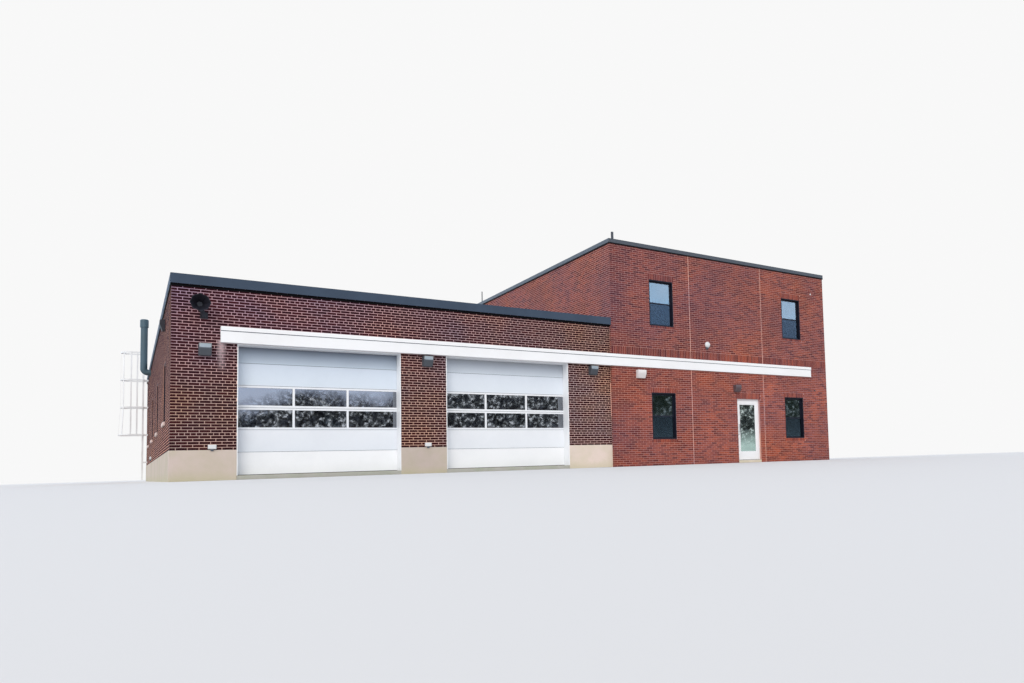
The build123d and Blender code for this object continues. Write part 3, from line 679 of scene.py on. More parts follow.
def concrete_material(name, main, dirt, streaks, blotch=(0.84, 0.92, 0.8), piers=(1.0, 1.0, 1.0)):
    """Cast concrete: pores, drifts of tone, run-down streaks and a dirty foot."""
    material, tree, shader = new_material(name)
    spot = object_place(tree)
    runs = noise(tree, object_place(tree, (3.2, 3.2, 0.35)), 1.6, 4.0, 0.6)
    runs = spread(tree, runs, (0.46, 0.74))
    inward = axes(tree, spot)["Y"]
    inward = spread(tree, inward, (bay_y + 0.02, bay_y + 0.3))
    runs = product(tree, runs, streaks, inward)
    other = colour([v * s for v, s in zip(main, blotch)])
    patch = spread(tree, noise(tree, spot, 1.9, 4.0, 0.6), (0.4, 0.66))
    base = mixed(tree, runs, mixed(tree, patch, colour(main), other), colour(dirt))
    place = axes(tree, spot)["X"]
    place = spread(tree, place, (left_x, step_x))
    tone = ramp(tree, place, [(0.1 + 0.4 * i, grey(share)) for i, share in enumerate(piers)])
    base = tinted(tree, base, tone)
    shade = weather(tree, base, colour(dirt), 0.16, 1.4, speckle=0.04, foot=0.4, foot_h=0.16)
    tree.links.new(shade, shader.inputs["Base Color"])
    shader.inputs["Roughness"].default_value = 0.88
    pores = noise(tree, spot, 85.0, 5.0, 0.7)
    bump(tree, shader, pores, 0.002, 0.6)
    return material


def glass_material(name, main, sheen, ior):
    """Coated window glass, clear enough to show the dark room behind it."""
    material, tree, shader = new_material(name)
    ripple = noise(tree, object_place(tree), 1.3, 2.0, 0.4)
    shade = mixed(tree, ripple, colour([v * 0.9 for v in main]), colour(main))
    tree.links.new(shade, shader.inputs["Base Color"])
    shader.inputs["Roughness"].default_value = 0.01
    shader.inputs["Transmission Weight"].default_value = 1.0
    shader.inputs["IOR"].default_value = ior
    shader.inputs["Specular Tint"].default_value = colour(sheen)
    bump(tree, shader, ripple, 0.0015, 0.5)
    return material


def screen_material(name):
    """Insect screen: a fine woven mesh, open between its wires."""
    material, tree, shader = new_material(name)
    pitch, wire = 0.002, 0.32
    parts = axes(tree, add(tree, "ShaderNodeTexCoord").outputs["Object"])
    flat = maths(tree, "ADD", parts["X"], parts["Y"])
    wires = [
        maths(tree, "LESS_THAN", maths(tree, "FRACT", maths(tree, "DIVIDE", way, pitch)), wire)
        for way in (flat, parts["Z"])
    ]
    weave = maths(tree, "MAXIMUM", wires[0], wires[1])
    alpha = spread(tree, weave, to=(0.8, 1.0))
    tree.links.new(alpha, shader.inputs["Alpha"])
    shade = weather(tree, colour(tint(63, 74, 86)), colour(tint(72, 78, 84)), 0.3, 1.5, speckle=0.0, foot=0.0)
    tree.links.new(shade, shader.inputs["Base Color"])
    shader.inputs["Metallic"].default_value = 1.0
    shader.inputs["Roughness"].default_value = 0.15
    return material


def rubber_material(name, main):
    """Rubber or roofing membrane."""
    material, tree, shader = new_material(name)
    spot = object_place(tree)
    paler = colour([v * 1.7 + 0.02 for v in main])
    shade = weather(tree, colour(main), paler, 0.5, 0.35, speckle=0.12, foot=0.0, foot_h=0.3)
    tree.links.new(shade, shader.inputs["Base Color"])
    shader.inputs["Roughness"].default_value = 0.75
    bump(tree, shader, noise(tree, spot, 140.0, 3.0, 0.6), 0.001, 0.6)
    return material


def by(maker, *values, **ways):
    """A finish that waits for its name."""
    return lambda name: maker(name, *values, **ways)


def finishes():
    """The maker of each finish."""
    brick = bpy.context.scene.station_brick
    metal = bpy.context.scene.station_metal
    plain = (1.0, 1.0, 1.0)
    block_cast = (0.77, 0.82, 0.95)
    return {
        "bay_brick": by(
            brick_material, main=brick.bay_colour, dark=tint(46, 15, 19), warm=tint(64, 22, 23),
            cool=tint(47, 16, 23), patch_scale=0.55, front=bay_y, above=cast_from,
            casts=((1.0, 0.98, 1.6), (0.85, 0.9, 1.0)), tones=(plain, (1.2, 1.25, 1.25)),
        ),
        # The bay's side wall brick: the bay's brick made lighter and warmer, painted light for the stronger
        # light from the left.
        "side_brick": by(
            brick_material, main=tint(59, 16, 18), dark=tint(52, 15, 17), warm=tint(74, 22, 21),
            cool=tint(53, 16, 20), patch_scale=0.55, front=bay_y, above=cast_from,
            casts=(plain, plain), tones=(plain, plain),
        ),
        "block_brick": by(
            brick_material, main=brick.block_colour, dark=tint(110, 57, 54), warm=tint(166, 88, 70),
            cool=tint(106, 56, 58), patch_scale=0.7, front=block_y, above=band_low.z,
            casts=(block_cast, block_cast), tones=((0.87, 0.84, 0.96), (1.1, 1.06, 1.02)),
            reach=(step_x, step_x + block_tone_reach),
        ),
        "bay_mortar": by(
            mortar_material, brick.bay_mortar, tint(160, 128, 118),
            casts=((0.92, 0.9, 1.38), (0.8, 0.785, 0.76)), tones=(plain, (1.22, 1.25, 1.36)),
        ),
        # The bay's side wall mortar: the bay's mortar made lighter and warmer, painted light for the stronger
        # light from the left.
        "side_mortar": by(mortar_material, tint(240, 181, 158), tint(178, 128, 110)),
        "block_mortar": by(mortar_material, brick.block_mortar, tint(150, 98, 90)),
        "sealant": by(mortar_material, tint(232, 188, 178), tint(196, 144, 134)),
        "concrete": by(
            concrete_material, tint(231, 213, 204), tint(174, 174, 128), 0.8, (0.92, 0.95, 0.88),
            piers=(0.77, 0.67, 1.0),
        ),
        "slab": by(concrete_material, tint(190, 188, 180), tint(140, 136, 128), 0.1),
        "sill_stone": by(concrete_material, tint(226, 208, 202), tint(166, 150, 142), 0.2, (0.9, 0.88, 0.88)),
        "membrane": by(rubber_material, tint(92, 94, 96)),
        "membrane_lap": by(rubber_material, tint(74, 76, 79)),
        "rubber": by(rubber_material, tint(34, 34, 36)),
        # Grey strips in the band's groove and the doors' section joints: painted shade for the shade inside
        # these recesses.
        "seam": by(rubber_material, tint(88, 96, 108)),
        "roof_edge": by(
            painted_material, metal.roof_edge, tint(42, 48, 60), 0.6, 0.3, wave=0.004, shine=0.12
        ),
        # Near-black drip strips: real drips whose colour is painted shade, the shadow line under the roof
        # edge and the coping.
        "drip": by(painted_material, tint(14, 14, 17), tint(26, 26, 30), 0.7, 0.3, shine=0.12),
        "coping": by(painted_material, metal.coping, tint(50, 50, 56), 0.45, 0.3, coat=0.1, wave=0.004),
        "white": by(painted_material, metal.white, tint(196, 200, 204), 0.38, 0.14, foot=0.18, coat=0.15),
        "door_white": by(door_material, metal.white),
        "band_white": by(painted_material, metal.white, tint(205, 200, 196), 0.5, 0.16),
        "window_metal": by(painted_material, metal.window, tint(44, 48, 58), 0.45, 0.15, shine=0.2),
        "stack_metal": by(painted_material, metal.stack, tint(60, 74, 74), 0.5, 0.5, speckle=0.08),
        "ladder_white": by(painted_material, tint(232, 234, 236), tint(168, 164, 158), 0.45, 0.3),
        "horn_black": by(painted_material, tint(20, 19, 29), tint(40, 38, 46), 0.55, 0.3),
        "lamp_body": by(painted_material, tint(78, 84, 92), tint(46, 46, 48), 0.45, 0.3),
        "lamp_silver": by(painted_material, tint(158, 166, 168), tint(110, 116, 118), 0.4, 0.3),
        "entry_lamp_body": by(painted_material, tint(96, 80, 84), tint(60, 52, 54), 0.45, 0.3),
        "wedge_white": by(painted_material, tint(232, 228, 228), tint(190, 180, 178), 0.45, 0.2),
        "lens": by(painted_material, tint(156, 168, 178), tint(112, 122, 132), 0.25, 0.5, coat=0.4),
        "dark_lens": by(painted_material, tint(34, 35, 40), tint(24, 25, 28), 0.5, 0.2),
        "mast_dark": by(painted_material, tint(52, 54, 60), tint(80, 76, 72), 0.5, 0.3),
        "box_white": by(painted_material, tint(222, 224, 226), tint(150, 148, 144), 0.5, 0.25),
        "steel": by(plain_metal, tint(190, 190, 190), 0.3, (1.0, 1.0, 0.05)),
        "galvanised": by(plain_metal, tint(165, 168, 170), 0.45),
        "window_glass": by(glass_material, tint(150, 168, 178), tint(212, 230, 240), 3.2),
        "entry_glass": by(glass_material, tint(160, 172, 170), tint(232, 244, 240), 3.6),
        "door_glass": by(glass_material, tint(120, 124, 130), tint(232, 236, 244), 2.9),
        "screen": screen_material,
    }


def finish_of(key):
    """The finish for one kind of surface, made the first time it is asked for."""
    name = f"finish_{key}"
    return bpy.data.materials.get(name) or finishes()[key](name)


def dress(key, *nodes):
    """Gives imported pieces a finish."""
    for node in nodes:
        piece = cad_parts[node]
        piece.data.materials.clear()
        piece.data.materials.append(finish_of(key))


def keep(name, bm, key, body="building", matrix=None, replaces=(), smooth=False):
    """Turns a bmesh into a finished piece that rides on a body."""
    if matrix is not None:
        bmesh.ops.transform(bm, matrix=matrix, verts=bm.verts)
    mesh = bpy.data.meshes.new(name)
    bm.to_mesh(mesh)
    bm.free()
    return keep_mesh(name, mesh, key, body, replaces, smooth)


def keep_mesh(name, mesh, key, body="building", replaces=(), smooth=False):
    """Turns a mesh into a finished piece that rides on a body."""
    mesh.materials.clear()
    mesh.materials.append(finish_of(key))
    if smooth:
        mesh.shade_smooth()
    piece = bpy.data.objects.new(name, mesh)
    bpy.context.scene.collection.objects.link(piece)
    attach(piece, body)
    if replaces:
        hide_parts(*replaces)
    return piece


def add_box(bm, low, high, bevel=0.0, face=None):
    """Adds a box between two corners, with rounded edges or on a wall's face if asked."""
    low, high = Vector(low), Vector(high)
    size = high - low
    place = Matrix.Translation((low + high) / 2) @ Matrix.Diagonal((*size, 1.0))
    made = bmesh.ops.create_cube(bm, size=1.0, matrix=place)["verts"]
    if face:
        bmesh.ops.transform(bm, matrix=face, verts=made)
    if bevel:
        edges = {e for v in made for e in v.link_edges}
        bmesh.ops.bevel(
            bm, geom=list(edges), offset=bevel, offset_type="OFFSET", segments=2, profile=0.5,
            affect="EDGES", material=-1,
        )


def add_frame(bm, low, high, width, proud=0.0, face=None):
    """Adds a flat four-sided frame inside the outline of two corners, standing proud on both faces."""
    (x0, y0, z0), (x1, y1, z1) = low, high
    z0, z1 = z0 - proud, z1 + proud
    add_box(bm, (x0, y0, z0), (x0 + width, y1, z1), face=face)
    add_box(bm, (x1 - width, y0, z0), (x1, y1, z1), face=face)
    add_box(bm, (x0 + width, y0, z0), (x1 - width, y0 + width, z1), face=face)
    add_box(bm, (x0 + width, y1 - width, z0), (x1 - width, y1, z1), face=face)


def turned(profile, place, steps=24):
    """A closed round shape spun from its half section, given as (radius, height) from foot to top."""
    bm = bmesh.new()
    points = [bm.verts.new((r, 0, z)) for r, z in profile]
    edges = [bm.edges.new(pair) for pair in zip(points, points[1:])]
    bmesh.ops.spin(
        bm, geom=points + edges, cent=(0, 0, 0), axis=(0, 0, 1), angle=2 * math.pi, steps=steps,
        use_merge=True,
    )
    bmesh.ops.remove_doubles(bm, verts=bm.verts, dist=merge_dist)
    bmesh.ops.recalc_face_normals(bm, faces=bm.faces)
    bmesh.ops.transform(bm, matrix=place, verts=bm.verts)
    return bm


def raked_box(low, high, bevel):
    """A lamp's shape: a box whose front rakes back below its upper part."""
    bm = bmesh.new()
    add_box(bm, low, high)
    (x0, y0, z0), (x1, y1, z1) = low, high
    knee = Vector(((x0 + x1) / 2, y1 - lamp_hood * (y1 - y0), z1))
    toe = Vector((knee.x, y0, z1 - lamp_rake * (z1 - z0)))
    run = toe - knee
    out = Vector((0, run.z, -run.y)).normalized()
    whole = bm.verts[:] + bm.edges[:] + bm.faces[:]
    bmesh.ops.bisect_plane(bm, geom=whole, plane_co=knee, plane_no=out, clear_outer=True)
    bmesh.ops.holes_fill(bm, edges=[e for e in bm.edges if e.is_boundary], sides=0)
    bmesh.ops.recalc_face_normals(bm, faces=bm.faces)
    bmesh.ops.bevel(
        bm, geom=bm.edges[:], offset=bevel, offset_type="OFFSET", segments=2, profile=0.5, affect="EDGES",
        material=-1,
    )
    return bm


def solids_of(node):
    """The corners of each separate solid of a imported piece, from left to right and from low to high."""
    bm = bmesh.new()
    bm.from_mesh(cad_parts[node].data)
    bmesh.ops.remove_doubles(bm, verts=bm.verts, dist=merge_dist)
    left = set(bm.verts)
    boxes = []
    while left:
        queue = [left.pop()]
        spots = []
        while queue:
            v = queue.pop()
            spots.append(v.co.copy())
            near = [e.other_vert(v) for e in v.link_edges if e.other_vert(v) in left]
            left.difference_update(near)
            queue += near
        low = Vector(min(s[i] for s in spots) for i in range(3))
        high = Vector(max(s[i] for s in spots) for i in range(3))
        boxes.append((low, high))
    bm.free()
    return sorted(boxes, key=lambda box: tuple(round(v, 3) for v in (box[0].x, box[0].z, box[0].y)))


def cut_rect(rect, hole):
    """The parts of a brick's outline (x0, z0, x1, z1) that lie outside a hole."""
    x0, z0, x1, z1 = rect
    a0, b0, a1, b1 = hole
    if a1 <= x0 or a0 >= x1 or b1 <= z0 or b0 >= z1:
        return [rect]
    inner0, inner1 = max(x0, a0), min(x1, a1)
    parts = [(x0, z0, a0, z1), (a1, z0, x1, z1), (inner0, z0, inner1, b0), (inner0, b1, inner1, z1)]
    return [p for p in parts if p[2] - p[0] > least_brick and p[3] - p[1] > least_brick]


def row_cells(span, first, pitch, last_share):
    """Lengths of the cells of one course: a first one, full ones, and one or two closers."""
    cells = [first * pitch]
    left = span - cells[0]
    while left > longest_closer * pitch:
        cells.append(pitch)
        left -= pitch
    if left > pitch:
        cells += [left * last_share, left * (1 - last_share)]
    else:
        cells.append(left)
    return cells


def bond_rects(span, low, high, holes, headers, joint):
    """Outlines of the bricks on one face: stretcher courses, with every sixth one of headers if asked."""
    rects = []
    rows = int(math.ceil((high - low) / course - 0.01))
    for row in range(rows):
        z0 = low + row * course
        z1 = min(z0 + course - joint, high)
        if headers and row % header_row == header_row - 1:
            first = header_start * stretcher
            cells = [first] + row_cells(span - first, 1.0, stretcher / 2, 0.5)
        else:
            start = odd_start if row % 2 else even_start
            cells = row_cells(span, start, stretcher, last_but_one)
        x = 0.0
        for cell in cells:
            parts = [(x + joint / 2, z0, x + cell - joint / 2, z1)]
            x += cell
            for hole in holes:
                parts = [p for part in parts for p in cut_rect(part, hole)]
            rects += parts
    return rects


def soldier_rects(x0, x1, low, high, joint, holes=()):
    """Outlines of a row of bricks on end."""
    count = max(1, round((x1 - x0) / course))
    pitch = (x1 - x0) / count
    rects = []
    for i in range(count):
        parts = [(x0 + i * pitch + joint / 2, low, x0 + (i + 1) * pitch - joint / 2, high - joint)]
        for hole in holes:
            parts = [p for part in parts for p in cut_rect(part, hole)]
        rects += parts
    return rects


def to_course(height):
    """The nearest joint between two courses of the crew block."""
    return course * round(height / course)


def head_holes(holes):
    """The places that the heads take out of the running bond."""
    return [(x0 - head_over, z1, x1 + head_over, to_course(z1 + head_h)) for x0, z0, x1, z1 in holes]


def soldier_heads(holes, joint):
    """Bricks on end over each opening."""
    rects = []
    for x0, z0, x1, z1 in head_holes(holes):
        rects += soldier_rects(x0, x1, z0, z1, joint)
    return rects


def sill_holes(holes):
    """The places that the brick sills take out of the running bond."""
    return [(x0 - sill_over, to_course(z0 - brick_sill_h), x1 + sill_over, z0) for x0, z0, x1, z1 in holes]


def brick_sills(holes, joint):
    """Bricks on edge under each opening."""
    rects = []
    for x0, z0, x1, z1 in sill_holes(holes):
        rects += soldier_rects(x0, x1, z0, z1 + joint, joint)
    return rects


def brick_template():
    """One brick of unit size whose arrises slope in to its face."""
    bm = bmesh.new()
    bmesh.ops.create_cube(bm, size=1.0, matrix=Matrix.Translation((0, 0, 0.5)))
    bm.faces.ensure_lookup_table()
    back = [f for f in bm.faces if f.normal.z < -0.5]
    bmesh.ops.delete(bm, geom=back, context="FACES_ONLY")
    front = [v for v in bm.verts if v.co.z > 0.5]
    bmesh.ops.scale(bm, vec=(0.982, 0.93, 1.0), verts=front)
    mesh = bpy.data.meshes.new("brick_template")
    bm.to_mesh(mesh)
    bm.free()
    return bpy.data.objects.new("brick_template", mesh)


def brick_setter(template):
    """Geometry nodes that set one brick on every point and make it real."""
    tree = bpy.data.node_groups.new("Set a brick on every point", "GeometryNodeTree")
    tree.interface.new_socket("Geometry", in_out="INPUT", socket_type="NodeSocketGeometry")
    tree.interface.new_socket("Geometry", in_out="OUTPUT", socket_type="NodeSocketGeometry")
    start = tree.nodes.new("NodeGroupInput")
    end = tree.nodes.new("NodeGroupOutput")
    shape = add(tree, "GeometryNodeObjectInfo", {"Object": template}).outputs["Geometry"]
    size = add(tree, "GeometryNodeInputNamedAttribute", {"Name": "brick_size"}, data_type="FLOAT_VECTOR")
    settings = {"Points": start.outputs[0], "Instance": shape, "Scale": size.outputs["Attribute"]}
    placed = add(tree, "GeometryNodeInstanceOnPoints", settings)
    real = add(tree, "GeometryNodeRealizeInstances", {"Geometry": placed.outputs[0]})
    tree.links.new(real.outputs[0], end.inputs[0])
    return tree


def lay_bricks(name, fields, key):
    """Sets the bricks of several faces, each (frame, outlines), as one piece."""
    relief = bpy.context.scene.station_brick.relief
    template = brick_template()
    setter = brick_setter(template)
    whole = bmesh.new()
    for matrix, rects, stand in fields:
        bm = bmesh.new()
        size = bm.verts.layers.float_vector.new("brick_size")
        tone = bm.verts.layers.float.new("tone")
        for x0, z0, x1, z1 in rects:
            spot = bm.verts.new(((x0 + x1) / 2, (z0 + z1) / 2, 0))
            spot[size] = (x1 - x0, z1 - z0, relief * stand * random.uniform(least_stand, 1.0))
            spot[tone] = random.random()
        spots = bpy.data.meshes.new("brick_spots")
        bm.to_mesh(spots)
        bm.free()
        holder = bpy.data.objects.new("brick_spots", spots)
        bpy.context.scene.collection.objects.link(holder)
        holder.modifiers.new("Bricks", "NODES").node_group = setter
        graph = bpy.context.evaluated_depsgraph_get()
        laid = bpy.data.meshes.new_from_object(holder.evaluated_get(graph), depsgraph=graph)
        laid.transform(matrix)
        whole.from_mesh(laid)
        bpy.data.objects.remove(holder)
        bpy.data.meshes.remove(spots)
        bpy.data.meshes.remove(laid)
    mesh = bpy.data.meshes.new(name)
    whole.to_mesh(mesh)
    whole.free()
    mesh.attributes.remove(mesh.attributes["brick_size"])
    bpy.data.node_groups.remove(setter)
    bpy.data.objects.remove(template)
    return keep_mesh(name, mesh, key)


class STATION_OT_lay_bay_brick(bpy.types.Operator):
    """Lay the engine bay's brick: five courses of stretchers, then one of headers"""

    bl_idname = "station.lay_bay_brick"
    bl_label = "Lay bay brick"

    def execute(self, context):
        brick = context.scene.station_brick
        joint, out = brick.joint, brick.relief
        dress("bay_mortar", "bay_piers", "bay_header_wall", "bay_back_wall")
        # The side wall's mortar is a lit copy of the bay's, its colour holding painted light from the left.
        dress("side_mortar", "bay_side_wall")
        doors = [(a, 0.0, b, bay_door_head) for a, b in bay_doors]
        band = (band_low.x - left_x, band_low.z, bay_w, band_high.z)
        front = bond_rects(bay_w, base_top, bay_top, doors + [band], True, joint)
        front = [(x0 - out if x0 < joint else x0, z0, x1, z1) for x0, z0, x1, z1 in front]
        side = bond_rects(depth, base_top, bay_top, bay_side_holes, True, joint)
        back = bond_rects(bay_w, base_top, bay_top, bay_back_holes, True, joint)
        back = [(x0, z0, x1 + out if x1 > bay_w - joint else x1, z1) for x0, z0, x1, z1 in back]
        lay_bricks("bay_front_bricks", [(bay_face, front, plain_stand)], "bay_brick")
        # The side wall's bricks are a lit copy of the bay's, their colour holding painted light from the
        # left.
        lay_bricks("bay_side_bricks", [(bay_side_face, side, flush)], "side_brick")
        lay_bricks("bay_back_bricks", [(bay_back_face, back, plain_stand)], "bay_brick")
        return {"FINISHED"}


class STATION_OT_lay_block_brick(bpy.types.Operator):
    """Lay the crew block's brick in running bond, with soldier courses over the band and the openings"""

    bl_idname = "station.lay_block_brick"
    bl_label = "Lay block brick"

    def execute(self, context):
        brick = context.scene.station_brick
        joint, out = brick.joint * block_joint_share, brick.relief
        dress(
            "block_mortar", "front_wall_left", "front_wall_right", "front_wall_over_door", "party_wall",
            "block_side_wall", "block_back_wall",
        )
        gaps = [(x - joint_w / 2, -1.0, x + joint_w / 2, block_top + 1) for x in joint_xs]
        band = (-1.0, band_low.z, band_high.x - step_x, band_high.z)
        row = (-1.0, soldier_low, block_w + 1, soldier_low + soldier_h)
        openings = block_front_holes + [doorway]
        holes = openings + head_holes(openings) + sill_holes(block_front_holes) + [band, row] + gaps
        front = bond_rects(block_w, 0.0, block_top, holes, False, joint)
        front += soldier_rects(0.0, block_w, soldier_low, soldier_low + soldier_h, joint, gaps)
        front += soldier_heads(openings, joint)
        front = [
            (x0 - out if x0 < joint else x0, z0, x1 + out if x1 > block_w - joint else x1, z1)
            for x0, z0, x1, z1 in front
        ]
        faces = (
            ("block_front_bricks", block_face, block_front_holes, front),
            ("block_side_bricks", block_side_face, block_side_holes, None),
            ("block_back_bricks", block_back_face, block_back_holes, None),
        )
        for name, face, windows, rects in faces:
            if rects is None:
                span = block_depth if face is block_side_face else block_w
                cuts = windows + head_holes(windows) + sill_holes(windows)
                rects = bond_rects(span, 0.0, block_top, cuts, False, joint) + soldier_heads(windows, joint)
            fields = [(face, rects, plain_stand), (face, brick_sills(windows, joint), sill_stand)]
            lay_bricks(name, fields, "block_brick")
        roofline = deck_high.z
        hidden = [(-1.0, -1.0, depth, roofline)]
        left = bond_rects(block_depth, 0.0, block_top, hidden, False, brick.joint)
        lay_bricks("block_left_bricks", [(block_left_face, left, flush)], "block_brick")
        return {"FINISHED"}


class STATION_OT_fill_movement_joints(bpy.types.Operator):
    """Fill the two upright movement joints of the crew block's front with pale sealant"""

    bl_idname = "station.fill_movement_joints"
    bl_label = "Fill movement joints"

    def execute(self, context):
        relief = context.scene.station_brick.relief
        bm = bmesh.new()
        for x in joint_xs:
            for z0, z1 in ((0.0, band_low.z), (band_high.z, block_top)):
                add_box(bm, (x - joint_w / 2, z0, 0), (x + joint_w / 2, z1, relief * joint_stand))
        keep("movement_joints", bm, "sealant", matrix=block_face)
        bm = bmesh.new()
        rise = band_low.z - base_top
        low, high = (base_top + rise * share for share in end_joint_span)
        add_box(bm, (bay_w - end_joint_w, low, 0), (bay_w, high, relief * end_joint_stand))
        keep("bay_end_joint", bm, "sealant", matrix=bay_face)
        return {"FINISHED"}


class STATION_OT_finish_concrete(bpy.types.Operator):
    """Finish the bases, floors, step and stone sills"""

    bl_idname = "station.finish_concrete"
    bl_label = "Finish concrete"

    def execute(self, context):
        dress("concrete", "bay_bases", "entry_step")
        dress("slab", "ground_floors", "upper_floor")
        dress("sill_stone", "window_sills")
        return {"FINISHED"}


class STATION_OT_finish_roofs(bpy.types.Operator):
    """Finish the roof decks, the bay's sheet metal edge and the block's coping"""

    bl_idname = "station.finish_roofs"
    bl_label = "Finish roofs"

    def execute(self, context):
        lip = coping_low.z + lip_trim
        dress("membrane", "bay_roof", "block_roof")
        self.trim_sheets()
        self.add_shadow_drips(lip)
        self.line_parapet(lip)
        self.cover_joints(lip + drip_line)
        return {"FINISHED"}

    def trim_sheets(self):
        """Fits the bay's roof edge and the block's coping to the real sheets' outline."""
        edge = self.merged_copy("bay_fascia")
        for v in edge.verts:
            v.co.y = min(v.co.y, fascia_high.y - lap_t)
            if v.co.x < left_x - drip_out:
                v.co.x += side_trim
        keep("roof_edge_sheet", edge, "roof_edge", replaces=("bay_fascia",))
        cap = self.merged_copy("block_coping")
        for v in cap.verts:
            v.co.x = min(max(v.co.x, coping_low.x + drip_t), coping_high.x - drip_t)
            v.co.y = min(max(v.co.y, coping_low.y + drip_t), coping_high.y - drip_t)
            if v.co.z < coping_low.z + 0.001:
                v.co.z += lip_trim
        keep("coping_sheet", cap, "coping", replaces=("block_coping",))

    def add_shadow_drips(self, lip):
        """Drip strips under the roof edge and along the coping's lip, near-black as painted shade for the
        shadow line under them.
        """
        bm = bmesh.new()
        low, high = fascia_low.z - drip_h, fascia_low.z
        add_box(bm, (left_x - side_drip, bay_y - drip_out, low), (step_x, bay_y, high))
        add_box(bm, (left_x - side_drip, bay_y, low), (left_x, back_y, high))
        add_box(bm, (left_x - side_drip, back_y, low), (step_x, back_y + drip_out, high))
        keep("roof_edge_drip", bm, "drip")
        bm = bmesh.new()
        outer = (coping_low.x, coping_low.y, lip)
        inner = (coping_high.x, coping_high.y, lip + drip_line)
        add_frame(bm, outer, inner, drip_t * 3)
        keep("coping_drip", bm, "drip")

    def cover_joints(self, foot):
        """Lap plates all round the roof edge and the coping."""
        low, high = fascia_low, fascia_high
        runs = (
            (low.x, low.y, 0, step_x - low.x),
            (low.x + side_trim, high.y, -90, high.y - low.y),
            (step_x, high.y - lap_t, 180, step_x - low.x),
        )
        self.lap_plates("roof_edge_laps", runs, low.z, high.z, "roof_edge", "roof_edge_metal")
        low, high = coping_low + Vector((drip_t, drip_t, 0)), coping_high - Vector((drip_t, drip_t, 0))
        runs = (
            (low.x, low.y, 0, high.x - low.x),
            (high.x, low.y, 90, high.y - low.y),
            (high.x, high.y, 180, high.x - low.x),
            (low.x, high.y, -90, high.y - low.y),
        )
        self.lap_plates("coping_laps", runs, foot, coping_high.z, "coping", "coping_metal")

    def line_parapet(self, top):
        """Roof sheet turned up the inside of the parapet, and the laps between the sheets of both roofs."""
        bm = bmesh.new()
        low, high = block_deck_low, block_deck_high
        add_frame(bm, (low.x, low.y, high.z), (high.x, high.y, top), upstand_t)
        for low, high in ((block_deck_low, block_deck_high), (deck_low, deck_high)):
            count = round((high.y - low.y) / seam_gap)
            for i in range(1, count):
                y = low.y + (high.y - low.y) * i / count
                foot = (low.x + seam_w, y - seam_w / 2, high.z)
                add_box(bm, foot, (high.x - seam_w, y + seam_w / 2, high.z + seam_t))
        keep("roof_sheet_laps", bm, "membrane_lap")

    def merged_copy(self, node):
        """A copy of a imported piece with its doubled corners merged."""
        bm = bmesh.new()
        bm.from_mesh(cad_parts[node].data)
        bmesh.ops.remove_doubles(bm, verts=bm.verts, dist=merge_dist)
        return bm

    def lap_plates(self, name, runs, low, high, key, slot):
        """Thin plates over the joints between lengths of sheet metal."""
        bm = bmesh.new()
        for x, y, turn, span in runs:
            count = round(span / sheet_len)
            for i in range(1, count):
                spot = span * i / count
                ends = (spot - lap_w / 2, low, 0), (spot + lap_w / 2, high, lap_t)
                add_box(bm, *ends, face=face_at(x, y, turn))
        keep(name, bm, key)


class STATION_OT_finish_band(bpy.types.Operator):
    """Finish the white band"""

    bl_idname = "station.finish_band"
    bl_label = "Finish band"

    def execute(self, context):
        dress("band_white", "front_band")
        # The groove is a thin grey strip whose colour is painted shade inside it.
        bm = bmesh.new()
        face, under = band_low.y + cap_over, band_high.z - cap_h
        add_box(bm, (band_low.x, face - groove_t, under - groove_h), (band_high.x, face + groove_t, under))
        keep("band_groove", bm, "seam")
        return {"FINISHED"}


class STATION_OT_finish_overhead_doors(bpy.types.Operator):
    """Finish the overhead doors, their glass, seals, tracks and jamb linings"""

    bl_idname = "station.finish_overhead_doors"
    bl_label = "Finish overhead doors"

    def execute(self, context):
        dress("door_white", "left_overhead_door", "right_overhead_door")
        dress("white", "doorway_linings")
        dress("door_glass", "overhead_door_glass")
        dress("rubber", "door_seals")
        dress("galvanised", "door_tracks")
        # The seams between sections are thin grey strips whose colour is painted shade in the joints.
        bm = bmesh.new()
        for node in ("left_overhead_door", "right_overhead_door"):
            sections = sorted(solids_of(node), key=lambda box: box[0].z)
            for low, high in sections[:-1]:
                foot = (low.x, low.y - section_seam_t, high.z - section_seam_h)
                add_box(bm, foot, (high.x, low.y + section_seam_t, high.z))
        keep("section_seams", bm, "seam")
        return {"FINISHED"}


class STATION_OT_finish_windows(bpy.types.Operator):
    """Finish the window frames, sashes and glass"""

    bl_idname = "station.finish_windows"
    bl_label = "Finish windows"

    def execute(self, context):
        dress("window_metal", "window_frames", "window_sashes")
        dress("window_glass", "window_glass")
        walls = (
            (block_face, block_front_holes),
            (block_side_face, block_side_holes),
            (block_back_face, block_back_holes),
            (bay_side_face, bay_side_holes),
            (bay_back_face, bay_back_holes),
        )
        screens, rims, panning = bmesh.new(), bmesh.new(), bmesh.new()
        for face, holes in walls:
            for x0, z0, x1, z1 in holes:
                middle = (z0 + z1) / 2
                low = (x0 + screen_edge, z0 + screen_edge, -screen_set)
                high = (x1 - screen_edge, middle, screen_t - screen_set)
                add_box(screens, low, high, face=face)
                add_frame(rims, low, high, screen_rim, screen_t, face)
                rail = (x1 - screen_edge, middle + rail_h / 2, screen_t + rail_t - screen_set)
                add_box(rims, (x0 + screen_edge, middle - rail_h / 2, -screen_set), rail, face=face)
                low, high = (x0, z0, screen_t - win_recess), (x1, z1, -panning_set)
                add_frame(panning, low, high, panning_w, face=face)
        keep("window_panning", panning, "window_metal")
        keep("insect_screens", screens, "screen")
        keep("screen_frames", rims, "window_metal")
        return {"FINISHED"}


